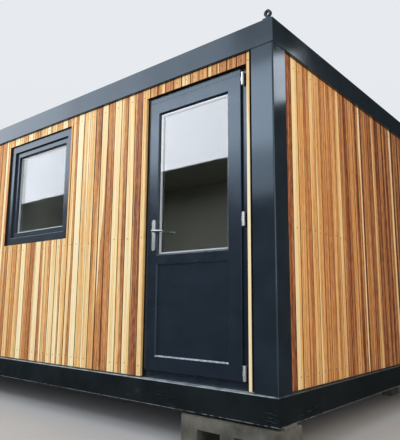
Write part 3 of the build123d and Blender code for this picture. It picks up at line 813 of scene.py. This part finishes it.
# %%
# Float glass
glass = finish_named("clear_float_glass")
place = add(glass, "TexCoord").outputs["Object"]
waves = add(glass, "TexNoise", {"Vector": place, "Scale": 4.0, "Detail": 1.0})  # 250 mm waves
bump = add(glass, "Bump", {"Height": waves.outputs["Fac"], "Strength": 0.02, "Distance": 0.01})
film = add(glass, "TexNoise", {"Vector": place, "Scale": 18.0, "Detail": 4.0})  # 55 mm patches
haze = add(glass, "MapRange", {"Value": film.outputs["Fac"], "From Min": 0.45, "From Max": 0.8,
                               "To Min": 0.0, "To Max": 0.03})
body = add(glass, "BsdfPrincipled", {
    "Base Color": linear("#f3f5f6"), "Roughness": haze.outputs["Result"], "IOR": 1.52,
    "Transmission Weight": 1.0, "Normal": bump.outputs["Normal"]})
through = add(glass, "BsdfTransparent", {"Color": linear("#f8fbfa")})
lamp_ray = add(glass, "LightPath").outputs["Is Shadow Ray"]
surface = add(glass, "MixShader", {0: lamp_ray, 1: body.outputs["BSDF"],
                                   2: through.outputs["BSDF"]})
add(glass, "OutputMaterial", {"Surface": surface.outputs["Shader"]})
wear(glass, "door_glass", "window_glass")

# %% [markdown]
# The spacer is a thin tube of steel, lacquered white, with a satin skin that stays bright in the
# shade of the frame. Seals of moulded black rubber hold the panes against the frame on both
# faces, as dull dark lines. Both run round a rectangle. Four bars with mitred ends would do, but
# one function that sweeps a small section round the corners needs no cutting.


# %%
# A section swept round a rectangle on the front
def swept_ring(bm, left, right, low, high, profile):
    # profile: (distance inwards from the rectangle, inset) points of the closed section
    loops = []
    for inward, inset in profile:
        corners_of = ((left + inward, low + inward), (right - inward, low + inward),
                      (right - inward, high - inward), (left + inward, high - inward))
        loops.append([bm.verts.new(on_side("front", u, inset, z)) for u, z in corners_of])
    for a, b in zip(loops, loops[1:] + loops[:1]):
        for k in range(4):
            j = (k + 1) % 4
            bm.faces.new((a[k], a[j], b[j], b[k]))


door_glass_hole = (1.962, 2.603, glass_foot, 2.343)
window_glass_hole = (-0.064, 0.735, 1.588, 2.372)
print("glass of the door shows from", door_glass_hole[2], "to", door_glass_hole[3], "m")

# %%
# White lacquer and black rubber
lacquer = finish_named("white_lacquered_steel_strip")
place = add(lacquer, "TexCoord").outputs["Object"]
speckle = add(lacquer, "TexNoise", {"Vector": place, "Scale": 90.0, "Detail": 2.0})  # 11 mm
tint = add(lacquer, "ValToRGB", {"Fac": speckle.outputs["Fac"]},
           stops=[(0.3, "#eef1f4"), (0.7, "#fafbfc")])
surface = add(lacquer, "BsdfPrincipled", {
    "Base Color": tint.outputs["Color"], "Roughness": 0.35})
add(lacquer, "OutputMaterial", {"Surface": surface.outputs["BSDF"]})
rubber = finish_named("black_sealing_rubber")
place = add(rubber, "TexCoord").outputs["Object"]
bloom = add(rubber, "TexNoise", {"Vector": place, "Scale": 40.0, "Detail": 3.0})  # 25 mm
tint = add(rubber, "ValToRGB", {"Fac": bloom.outputs["Fac"]},
           stops=[(0.3, "#0d0e0f"), (0.75, "#191b1d")])
surface = add(rubber, "BsdfPrincipled", {
    "Base Color": tint.outputs["Color"], "Roughness": 0.55})
add(rubber, "OutputMaterial", {"Surface": surface.outputs["BSDF"]})
print("rubber recipe has", len(rubber.node_tree.nodes), "nodes")

# %%
# Spacers between the panes, and seals on both faces
sight, hidden, hidden_right = 0.017, 0.004, 0.008
pane, unit_depth, clear = 0.004, 0.024, 0.0002
units = (("door", door_glass_hole, 0.060, "door_leaf"),
         ("window", window_glass_hole, 0.083, "cabin"))
for name, (left, right, low, high), face, rider in units:
    bm = bmesh.new()
    gap_front, gap_back = face + pane + clear, face + unit_depth - pane - clear
    # The units were set down with 4 mm more room on the right
    swept_ring(bm, left - hidden, right + hidden_right, low - hidden, high + hidden,
               [(0.0, gap_front), (sight - 0.002, gap_front), (sight, gap_front + 0.002),
                (sight, gap_back - 0.002), (sight - 0.002, gap_back), (0.0, gap_back)])
    piece(name + "_glass_spacer", mesh_of(bm, name + "_spacer"), lacquer, rider)
    bm = bmesh.new()
    for inset, out in ((face, -1), (face + unit_depth, 1)):
        swept_ring(bm, left, right, low, high,
                   [(0.0, inset + out * 0.0003), (0.003, inset + out * 0.0003),
                    (0.002, inset + out * 0.003), (0.0, inset + out * 0.004)])
    piece(name + "_glass_seals", mesh_of(bm, name + "_seals"), rubber, rider)
    print(name, "unit", round(right - left, 3), "by", round(high - low, 3), "m in sight")

# %% [markdown]
# ## Stainless and chromed steel
#
# Handle plates, levers and the lock cylinder are stainless steel, ground with a fine belt. The
# grind leaves lines under 0.1 mm, too fine to draw, so they are drawn 0.6 mm apart and very
# shallow, and the roughness does the rest. The hinges are satin chrome: a paler metal with less
# roughness, spotted where rain has dried. A metal keeps the default index; its colour is what it
# mirrors, so the base is nearly white.

# %%
# Ground stainless steel on the handles
steel = finish_named("ground_stainless_steel")
place = add(steel, "TexCoord").outputs["Object"]
lines = add(steel, "Mapping", {"Vector": place, "Scale": (1600.0, 1600.0, 60.0)})
grind = add(steel, "TexNoise", {"Vector": lines.outputs["Vector"], "Scale": 1.0, "Detail": 2.0})
gloss = add(steel, "MapRange", {"Value": grind.outputs["Fac"], "To Min": 0.30, "To Max": 0.48})
tint = add(steel, "ValToRGB", {"Fac": grind.outputs["Fac"]},
           stops=[(0.3, "#d6d8da"), (0.7, "#e4e6e8")])
bump = add(steel, "Bump", {"Height": grind.outputs["Fac"], "Strength": 0.06, "Distance": 0.0003})
surface = add(steel, "BsdfPrincipled", {
    "Base Color": tint.outputs["Color"], "Metallic": 1.0, "Roughness": gloss.outputs["Result"],
    "Normal": bump.outputs["Normal"]})
add(steel, "OutputMaterial", {"Surface": surface.outputs["BSDF"]})
wear(steel, "handle_plates", "lock_cylinder", "door_levers")
print("steel on", len([n for n in nodes if nodes[n].data.materials[0] == steel]), "solids")

# %%
# Satin chrome on the hinges
chrome = finish_named("satin_chromed_steel")
place = add(chrome, "TexCoord").outputs["Object"]
spots = add(chrome, "TexNoise", {"Vector": place, "Scale": 120.0, "Detail": 4.0})  # 8 mm
spot = add(chrome, "MapRange", {"Value": spots.outputs["Fac"], "From Min": 0.50, "From Max": 0.62,
                                "To Min": 0.24, "To Max": 0.45})
tint = add(chrome, "ValToRGB", {"Fac": spots.outputs["Fac"]},
           stops=[(0.52, "#f4f5f6"), (0.68, "#a3a5a6")])
surface = add(chrome, "BsdfPrincipled", {
    "Base Color": tint.outputs["Color"], "Metallic": 0.6,
    "Roughness": spot.outputs["Result"]})
add(chrome, "OutputMaterial", {"Surface": surface.outputs["BSDF"]})
wear(chrome, "hinge_frame_halves", "hinge_leaf_halves")
print("chrome recipe has", len(chrome.node_tree.nodes), "nodes")

# %% [markdown]
# Small round caps close the hinges at both ends, two screws hold the inner handle plate, and the
# lock has a key slot on either face. Caps and screws are the dome again. The slots could be cut
# into the lock, but a dark bar that stands a hair proud of it, a painted shade for the hollow of
# the slot, reads the same and keeps the solid as it is.

# %%
# Caps of the hinges
hinge_x, hinge_inset, hinge_levels, hinge_half = 2.732, 0.048, (0.490, 1.4495, 2.409), 0.0435
cap_radius, cap_rise = 0.0105, 0.004
bm = bmesh.new()
for level in hinge_levels:
    for way in (-1, 1):
        dome(bm, on_side("front", hinge_x, hinge_inset, level + way * hinge_half), (0, 0, way),
             cap_radius, cap_rise, points=16)
piece("hinge_caps", mesh_of(bm, "hinge_caps"), chrome, smooth=True)
print("caps on", 2 * len(hinge_levels), "knuckles")

# %%
# Screws of the inner handle plate, and the two key slots
handle_x, lock_z, plate_low, plate_high = 1.927, 1.346, 1.290, 1.522
inner_plate_face, screw_margin, screw_radius, screw_rise = 0.120, 0.014, 0.0045, 0.0012
bm = bmesh.new()
for z in (plate_low + screw_margin, plate_high - screw_margin):
    dome(bm, on_side("front", handle_x, inner_plate_face, z), (0, 1, 0), screw_radius, screw_rise,
         points=14)
piece("handle_screws", mesh_of(bm, "handle_screws"), steel, "door_leaf",
      smooth=True)
bm = bmesh.new()
# Each key slot is a dark rubber bar: painted shade of the hollow
slot_half_width, slot_half_height, slot_depth = 0.0012, 0.005, 0.0006
for front in (0.0346, 0.1218):
    bar(bm, "front", handle_x - slot_half_width, handle_x + slot_half_width, front,
        front + slot_depth, lock_z - slot_half_height, lock_z + slot_half_height, thin_sheet)
piece("key_slots", mesh_of(bm, "key_slots"), rubber, "door_leaf")
print("key slots", 2000 * slot_half_width, "by", 2000 * slot_half_height, "mm")

# %% [markdown]
# ## Sill seals and the lip of the leaf
#
# Along the sill run two rubber seals that keep driving rain out, and the head of the leaf has a
# slim lip that overlaps the frame. A texture of lines would flatten at this low view, so both are
# real bars; the lip rides on the leaf and stays clear of the boards above it.

# %%
# Seals on the sill below the leaf, lip above it
bm = bmesh.new()
seal_left, seal_right, seal_front, seal_back, seal_height = 1.845, 2.762, 0.0605, 0.0642, 0.004
for foot in (0.4040, 0.4225):
    bar(bm, "front", seal_left, seal_right, seal_front, seal_back, foot, foot + seal_height)
piece("sill_seals", mesh_of(bm, "sill_seals"), rubber)
bm = bmesh.new()
lip_left, lip_right, lip_front, lip_back = 1.8495, 2.7155, 0.0451, 0.0580
lip_foot, lip_head = 2.4426, 2.482
bar(bm, "front", lip_left, lip_right, lip_front, lip_back, lip_foot, lip_head, r=0.0004)
piece("leaf_head_lip", mesh_of(bm, "leaf_head_lip"), coat, "door_leaf")
print("lip reaches", lip_head, "m")

# %% [markdown]
# ## Weld beads
#
# Each post is welded to the rings below and above, which leaves a bead 5 mm wide with a ripple
# every 6 mm. Painted over, it shows as a thin uneven line. A bump would vanish at the
# outline of the corner, so the bead is a slim tube whose rings swell and shrink a little.


# %%
# A bead along a path
def bead(bm, path, rng, radius=0.0026, points=6):
    rings = []
    for k, centre in enumerate(path):
        ahead = (Vector(path[min(k + 1, len(path) - 1)]) - Vector(path[max(k - 1, 0)])).normalized()
        side_way = ahead.cross(Vector((0, 0, 1)))
        swell = radius * rng.uniform(0.75, 1.15)
        rings.append([bm.verts.new(
            Vector(centre) + side_way * swell * math.cos(2 * math.pi * j / points)
            + Vector((0, 0, swell * math.sin(2 * math.pi * j / points)))) for j in range(points)])
    for a, b in zip(rings, rings[1:]):
        for j in range(points):
            i = (j + 1) % points
            bm.faces.new((a[j], a[i], b[i], b[j]))
    bm.faces.new(rings[0])
    bm.faces.new(rings[-1])


post_setback, post_bend, post_front, ripple = 0.006, 0.009, 0.165, 0.006
print("a ripple every", 1000 * ripple, "mm")

# %%
# Beads round the feet and heads of the four posts
rng = random.Random(3)
bm = bmesh.new()
for end in (-1, 1):
    for face in (-1, 1):
        for z in (0.3865, 2.5685):
            x, y = end * (half_length - post_setback), face * (half_width - post_setback)
            path = [(x - end * (post_front - ripple * k), y, z) for k in range(27)]
            # five rings lead round the bend of the post
            path += [(x - end * post_bend * (1 - math.sin(turn)), y - face * post_bend
                      * (1 - math.cos(turn)), z) for turn in (0.0, 0.4, 0.8, 1.17, 1.57)]
            path += [(x, y - face * (post_bend + ripple * k), z) for k in range(1, 25)]
            bead(bm, path, rng)
piece("weld_beads", mesh_of(bm, "weld_beads"), paint, smooth=True)
print("beads have", len(bpy.data.meshes["weld_beads"].polygons), "faces")

# %% [markdown]
# ## Inner lining
#
# The room is lined with the inner skins of the wall panels: steel sheet, coil coated light grey,
# even and half matt, with fine upright grooves every 30 mm. Only the far wall shows, dimly,
# through the door. A bump would do for that one view, but real grooves also hold from inside, and
# a strip of points is as easy to make.

# %%
# Coated sheet on the walls and the ceiling
lining = finish_named("coated_lining_sheet")
place = add(lining, "TexCoord").outputs["Object"]
film = add(lining, "TexNoise", {"Vector": place, "Scale": 3.0, "Detail": 4.0})  # 330 mm patches
tint = add(lining, "ValToRGB", {"Fac": film.outputs["Fac"]},
           stops=[(0.3, "#b9baad"), (0.7, "#c4c5b9")])
surface = add(lining, "BsdfPrincipled", {
    "Base Color": tint.outputs["Color"], "Roughness": 0.45})
add(lining, "OutputMaterial", {"Surface": surface.outputs["BSDF"]})
wear(lining, "front_wall", "front_wall_over_door", "rear_wall", "left_wall", "right_wall",
     "roof_panel")
print("lining on", len([n for n in nodes if nodes[n].data.materials[0] == lining]), "solids")


# %%
# Grooved sheets on three walls of the room
def grooved_sheet(bm, side, left, right, low, high, pitch=0.030):
    # each groove is 8 mm wide at the face, 4 mm at its floor and 2 mm deep
    count = int((right - left) / pitch)
    step = (right - left) / count
    face, groove_floor, skin_back = (wall_inner + d for d in (0.0025, 0.0005, 0.0002))
    points = [(left, face)]
    for k in range(1, count + 1):
        end = left + k * step
        points += [(end - 0.008, face), (end - 0.006, groove_floor), (end - 0.002, groove_floor),
                   (end, face)]
    points += [(right, skin_back), (left, skin_back)]
    lower = [bm.verts.new(on_side(side, u, inset, low)) for u, inset in points]
    upper = [bm.verts.new(on_side(side, u, inset, high)) for u, inset in points]
    for k in range(len(points)):
        j = (k + 1) % len(points)
        bm.faces.new((lower[k], lower[j], upper[j], upper[k]))
    bm.faces.new(lower)
    bm.faces.new(upper)


room_foot, room_head, wall_inner = 0.408, 2.569, 0.160
inner_x, inner_y = half_length - wall_inner, half_width - wall_inner
bm = bmesh.new()
grooved_sheet(bm, "rear", -inner_x, inner_x, room_foot, room_head)
grooved_sheet(bm, "left", -inner_y, inner_y, room_foot, room_head)
grooved_sheet(bm, "right", -inner_y, inner_y, room_foot, room_head)
lined = piece("inner_lining", mesh_of(bm, "inner_lining"), lining)
print("lining with", len(lined.data.polygons), "faces")

# %% [markdown]
# ## Floor, roof and joists
#
# The floor is film-faced plywood, dark brown with a faint sheen, pressed on a fine mesh. The roof
# is ribbed steel sheet with a matt coating, clouded by dust, and held by domed screws through its
# ribs. The joists are hot-dip galvanised, which freezes into zinc crystals 10 to 25 mm across, so
# they shimmer in patches. A noise would blur their borders; a Voronoi pattern keeps them sharp.

# %%
# Film-faced plywood on the floor
ply = finish_named("film_faced_plywood")
place = add(ply, "TexCoord").outputs["Object"]
weave = add(ply, "TexVoronoi", {"Vector": place, "Scale": 220.0})  # 4.5 mm mesh
film = add(ply, "TexNoise", {"Vector": place, "Scale": 6.0, "Detail": 5.0})  # 170 mm patches
tint = add(ply, "ValToRGB", {"Fac": film.outputs["Fac"]},
           stops=[(0.3, "#3f2f24"), (0.7, "#554233")])
bump = add(ply, "Bump", {"Height": weave.outputs["Distance"], "Strength": 0.15, "Distance": 0.0005})
surface = add(ply, "BsdfPrincipled", {
    "Base Color": tint.outputs["Color"], "Roughness": 0.45,
    "Normal": bump.outputs["Normal"]})
add(ply, "OutputMaterial", {"Surface": surface.outputs["BSDF"]})
wear(ply, "floor_deck")

# %%
# Coated sheet on the roof, and its screws
roofing = finish_named("matt_coated_roof_sheet")
place = add(roofing, "TexCoord").outputs["Object"]
dust = add(roofing, "TexNoise", {"Vector": place, "Scale": 2.5, "Detail": 6.0})  # 400 mm clouds
tint = add(roofing, "ValToRGB", {"Fac": dust.outputs["Fac"]},
           stops=[(0.35, "#545a5e"), (0.7, "#63676a")])
gloss = add(roofing, "MapRange", {"Value": dust.outputs["Fac"], "To Min": 0.45, "To Max": 0.75})
surface = add(roofing, "BsdfPrincipled", {
    "Base Color": tint.outputs["Color"], "Roughness": gloss.outputs["Result"]})
add(roofing, "OutputMaterial", {"Surface": surface.outputs["BSDF"]})
wear(roofing, "roof_sheet")
rib_pitch, rib_count, rib_top = 0.250, 23, 2.685
screw_radius, screw_rise = 0.009, 0.006
bm = bmesh.new()
for rib in range(rib_count):
    for y in (-1.30, -0.65, 0.0, 0.65, 1.30):
        dome(bm, ((rib - (rib_count - 1) / 2) * rib_pitch, y, rib_top), (0, 0, 1), screw_radius,
             screw_rise, points=12)
piece("roof_screws", mesh_of(bm, "roof_screws"), roofing, smooth=True)

# %%
# Galvanised steel on the joists
zinc = finish_named("hot_dip_galvanised_steel")
place = add(zinc, "TexCoord").outputs["Object"]
crystals = add(zinc, "TexVoronoi", {"Vector": place, "Scale": 55.0})  # 18 mm crystals
spangle = add(zinc, "RGBToBW", {"Color": crystals.outputs["Color"]})
tint = add(zinc, "ValToRGB", {"Fac": spangle.outputs["Val"]},
           stops=[(0.2, "#8b9093"), (0.8, "#b4b8ba")])
gloss = add(zinc, "MapRange", {"Value": spangle.outputs["Val"], "To Min": 0.35, "To Max": 0.6})
surface = add(zinc, "BsdfPrincipled", {
    "Base Color": tint.outputs["Color"], "Metallic": 0.85,
    "Roughness": gloss.outputs["Result"]})
add(zinc, "OutputMaterial", {"Surface": surface.outputs["BSDF"]})
wear(zinc, "floor_joists")

# %% [markdown]
# ## Concrete and packing plates
#
# The foundation blocks are precast concrete: a grey cement skin with sand grains of 1 to 3 mm,
# air holes where bubbles sat against the mould, and damp patches, all quite without gloss. The
# thin plates between block and steel are moulded packing plates of grey plastic, duller than the
# paint. One noise could serve both grains, but only concrete has holes and damp.

# %%
# Precast concrete
concrete = finish_named("precast_concrete")
place = add(concrete, "TexCoord").outputs["Object"]
sand = add(concrete, "TexNoise", {"Vector": place, "Scale": 300.0, "Detail": 3.0})  # 3 mm
damp = add(concrete, "TexNoise", {"Vector": place, "Scale": 7.0, "Detail": 5.0})  # 140 mm
# Air holes 4 mm across, 14 mm apart
holes = add(concrete, "TexVoronoi", {"Vector": place, "Scale": 70.0})
hole = add(concrete, "MapRange", {"Value": holes.outputs["Distance"], "From Min": 0.10,
                                  "From Max": 0.18})
skin = add(concrete, "ValToRGB", {"Fac": damp.outputs["Fac"]},
           stops=[(0.3, "#514f48"), (0.7, "#87847a")])
speck = add(concrete, "ValToRGB", {"Fac": sand.outputs["Fac"]},
            stops=[(0.3, "#55524c"), (0.7, "#ffffff")])
grainy = add(concrete, "Mix", {0: 0.6, 6: skin.outputs["Color"], 7: speck.outputs["Color"]},
             data_type="RGBA", blend_type="MULTIPLY")
pitted = add(concrete, "Mix", {0: hole.outputs["Result"], 6: linear("#3e3c38"),
                               7: grainy.outputs[2]}, data_type="RGBA")
relief = add(concrete, "Math", {0: hole.outputs["Result"], 1: sand.outputs["Fac"]})
bump = add(concrete, "Bump", {"Height": relief.outputs["Value"], "Strength": 0.5,
                              "Distance": 0.0015})
surface = add(concrete, "BsdfPrincipled", {
    "Base Color": pitted.outputs[2], "Roughness": 0.9,
    "Normal": bump.outputs["Normal"]})
add(concrete, "OutputMaterial", {"Surface": surface.outputs["BSDF"]})
wear(concrete, "foundation_blocks")

# %%
# Grey plastic packing plates
plastic = finish_named("moulded_packing_plastic")
place = add(plastic, "TexCoord").outputs["Object"]
grain = add(plastic, "TexNoise", {"Vector": place, "Scale": 350.0})  # 3 mm grain
tint = add(plastic, "ValToRGB", {"Fac": grain.outputs["Fac"]},
           stops=[(0.3, "#5d5f60"), (0.7, "#7b7d7e")])
bump = add(plastic, "Bump", {"Height": grain.outputs["Fac"], "Strength": 0.2, "Distance": 0.0005})
surface = add(plastic, "BsdfPrincipled", {
    "Base Color": tint.outputs["Color"], "Roughness": 0.6,
    "Normal": bump.outputs["Normal"]})
add(plastic, "OutputMaterial", {"Surface": surface.outputs["BSDF"]})
wear(plastic, "levelling_pads")

# %% [markdown]
# ## Floor, sky and lamps
#
# Nothing from here on belongs to the cabin. A pale, dull floor and an even, pale surround let the
# finishes speak. A curved backdrop would also do in a studio, but a building is seen from all
# sides, so the floor simply runs on until the sky takes over.

# %%
# Pale floor
floor_paint = finish_named("pale_studio_floor")
place = add(floor_paint, "TexCoord").outputs["Object"]
cloud = add(floor_paint, "TexNoise", {"Vector": place, "Scale": 0.6, "Detail": 3.0})  # 1.7 m
tint = add(floor_paint, "ValToRGB", {"Fac": cloud.outputs["Fac"]},
           stops=[(0.3, "#c2c3c3"), (0.7, "#c6c7c7")])
surface = add(floor_paint, "BsdfPrincipled", {
    "Base Color": tint.outputs["Color"], "Roughness": 0.9,
    "Specular IOR Level": 0.2})
add(floor_paint, "OutputMaterial", {"Surface": surface.outputs["BSDF"]})


def stage_sheet(name, points, material):
    mesh = bpy.data.meshes.new(name)
    mesh.from_pydata(points, [], [(0, 1, 2, 3)])
    mesh.materials.append(material)
    made = bpy.data.objects.new(name, mesh)
    bpy.context.scene.collection.objects.link(made)
    return made


reach = 60
stage_sheet("studio_floor", [(-reach, -reach, 0), (reach, -reach, 0), (reach, reach, 0),
                             (-reach, reach, 0)], floor_paint)
print("floor of", 2 * reach, "m laid")

# %% [markdown]
# Dark gloss is mostly a picture of what stands around it, and a pale surround would turn
# anthracite steel grey. So black cloths hang in front of the cabin and to its right and lie on the
# floor beside it, as they do in a photo studio, and a mottled grey one hangs further left, where
# the glass of the window mirrors it. The lamps could be dimmed instead, but the wood needs them.
# Only gloss and glass see the cloths; the camera doesn't, and no light on the wood is lost.

# %%
# Black and grey cloth
cloth = finish_named("black_studio_cloth")
place = add(cloth, "TexCoord").outputs["Object"]
nap = add(cloth, "TexNoise", {"Vector": place, "Scale": 30.0, "Detail": 3.0})  # 33 mm folds
tint = add(cloth, "ValToRGB", {"Fac": nap.outputs["Fac"]},
           stops=[(0.3, "#17191a"), (0.7, "#1d1f20")])
surface = add(cloth, "BsdfPrincipled", {
    "Base Color": tint.outputs["Color"], "Roughness": 1.0,
    "Specular IOR Level": 0.0})
add(cloth, "OutputMaterial", {"Surface": surface.outputs["BSDF"]})
grey_cloth = finish_named("grey_studio_cloth")
place = add(grey_cloth, "TexCoord").outputs["Object"]
nap = add(grey_cloth, "TexNoise", {"Vector": place, "Scale": 1.2, "Detail": 4.0})  # 0.8 m folds
tint = add(grey_cloth, "ValToRGB", {"Fac": nap.outputs["Fac"]},
           stops=[(0.35, "#6f736a"), (0.65, "#a3a79c")])
surface = add(grey_cloth, "BsdfPrincipled", {
    "Base Color": tint.outputs["Color"], "Roughness": 1.0,
    "Specular IOR Level": 0.0})
add(grey_cloth, "OutputMaterial", {"Surface": surface.outputs["BSDF"]})
print("cloth recipes have", len(cloth.node_tree.nodes) + len(grey_cloth.node_tree.nodes), "nodes")


# %%
# Cloths, which only gloss and glass see
def hang(name, points, material):
    hung = stage_sheet(name, points, material)
    hung.visible_camera = hung.visible_diffuse = hung.visible_shadow = False


cloth_edge, cloth_y, cloth_border = 3.6, -6.02, -4.6
for name, (x0, y0), (x1, y1), top, material in (
        ("front_cloth", (cloth_border, cloth_y), (2.5, cloth_y), cloth_edge, cloth),
        ("left_cloth", (-18.0, cloth_y), (cloth_border, cloth_y), cloth_edge, grey_cloth),
        ("right_cloth", (11.4, 5.8), (3.2, 13.3), 14.0, cloth)):
    hang(name, [(x0, y0, 0), (x1, y1, 0), (x1, y1, top), (x0, y0, top)], material)
lying_at = 0.001
for name, x0, y0, x1, y1 in (("floor_cloth_front", -18.0, -6.0, 4.5, -1.6),
                             ("floor_cloth_right", 3.1, -1.6, 9.0, 12.0)):
    hang(name, [(x, y, lying_at) for x, y in ((x0, y0), (x1, y0), (x1, y1), (x0, y1))], cloth)
print("cloths up to", cloth_edge, "m in front")

# %% [markdown]
# The sky is a soft dome, a little brighter overhead, which keeps the shadows open. A picture of a
# real sky would bring its own colours into every finish. The dome fades towards the right, so that
# the two sides of the corner differ and the cabin reads as a box.

# %%
# Soft dome, a little brighter overhead
world = bpy.data.worlds.new("soft_dome")
bpy.context.scene.world = world
world.use_nodes = True
world.node_tree.nodes.clear()
ray = add(world, "TexCoord").outputs["Generated"]
way = add(world, "SeparateXYZ", {"Vector": ray})
dome_light = add(world, "ValToRGB", {"Fac": way.outputs["Z"]},
                 stops=[(0.0, "#e6e9ee"), (0.4, "#eceff4"), (1.0, "#eef1f5")])
# The right-hand side gets less light than the front
fade = add(world, "MapRange", {"Value": way.outputs["X"], "From Min": 0.1, "From Max": 0.9,
                               "To Min": 0.95, "To Max": 0.55})
sky = add(world, "Background", {"Color": dome_light.outputs["Color"],
                                "Strength": fade.outputs["Result"]})
add(world, "OutputWorld", {"Surface": sky.outputs["Background"]})
print("dome of", len(world.node_tree.nodes), "nodes")

# %% [markdown]
# Softboxes do the rest, each with one task. A long bluish band stands above the front cloths, and
# its lower edge shows as a level line in the glass; dimmer boxes carry on above it, and one below
# it on the right. The corner softbox shapes the right-hand side. The post softbox shows in gloss
# only, as a soft light on the head of the corner post. The warm side softbox, the front softbox
# and a dim one in the room light the surfaces in front of them and are mirrored nowhere. One sun
# lamp would be simpler, but it would draw hard shadows and leave the gloss empty.


# %%
# One function sets up a softbox, and two put it to its task
def softbox(name, place, target, wide, high, radiance, tint="#ffffff"):
    lamp = bpy.data.lights.new(name, "AREA")
    lamp.shape = "RECTANGLE"
    lamp.size, lamp.size_y = wide, high
    lamp.energy = radiance * math.pi * wide * high
    lamp.color = linear(tint)[:3]
    made = bpy.data.objects.new(name, lamp)
    made.location = place
    facing = (Vector(target) - Vector(place)).to_track_quat("-Z", "Y")
    made.rotation_euler = facing.to_euler()
    made.visible_camera = False
    bpy.context.scene.collection.objects.link(made)
    return made


def keep_out_of_gloss(lamp):
    # Such a lamp lights, but no gloss or glass shows it
    lamp.visible_glossy = lamp.visible_transmission = False


cool = "#f3f7ff"


def front_box(name, left, right, low, high, radiance):
    middle = ((left + right) / 2, -6.0, (low + high) / 2)
    target = (middle[0], 0.0, middle[2])
    return softbox(name, middle, target, right - left, high - low, radiance, cool)


band_head = 5.15
print("the band is", round(band_head - cloth_edge, 2), "m high")

# %%
# The band and the dimmer boxes above and below it
front_box("band_right", -4.6, -0.5, cloth_edge, band_head, 3.9)
front_box("band_end", -0.5, 1.5, cloth_edge, band_head, 3.3)
front_box("band_left", -15.0, -4.6, cloth_edge, band_head, 2.5)
front_box("band_foot", -0.75, 1.5, 2.75, cloth_edge, 1.8)
for k, (left, right, radiance) in enumerate(((-15.0, -8.4, 2.05), (-8.4, -5.8, 2.0),
                                             (-5.8, -3.2, 1.45), (-3.2, -0.6, 1.1))):
    front_box("upper_%d" % k, left, right, band_head, 7.5, radiance)

# %%
# The softboxes at the corner, at the side, in front and in the room
softbox("corner_softbox", (8.1, -4.6, 2.9), (3.0, -1.5, 2.0), 2.6, 3.4, 2.0)
post_softbox = softbox("post_softbox", (4.52, 1.17, 3.755), (3.0, -1.42, 2.4), 0.36, 0.58, 4.0,
                       cool)
post_softbox.visible_diffuse = False  # it only shows in gloss
keep_out_of_gloss(softbox("side_softbox", (6.2, -1.6, 2.6), (3.0, -1.2, 1.4), 1.8, 2.2, 3.2,
                          "#ffdcae"))
keep_out_of_gloss(softbox("front_softbox", (0.5, -8.5, 2.8), (0.5, -1.5, 1.4), 5.0, 3.0, 1.6,
                          cool))
keep_out_of_gloss(softbox("room_softbox", (0.6, 0.0, 2.45), (0.6, 0.0, 0.0), 3.6, 1.6, 0.5))
bpy.context.scene.view_settings.view_transform = "Standard"
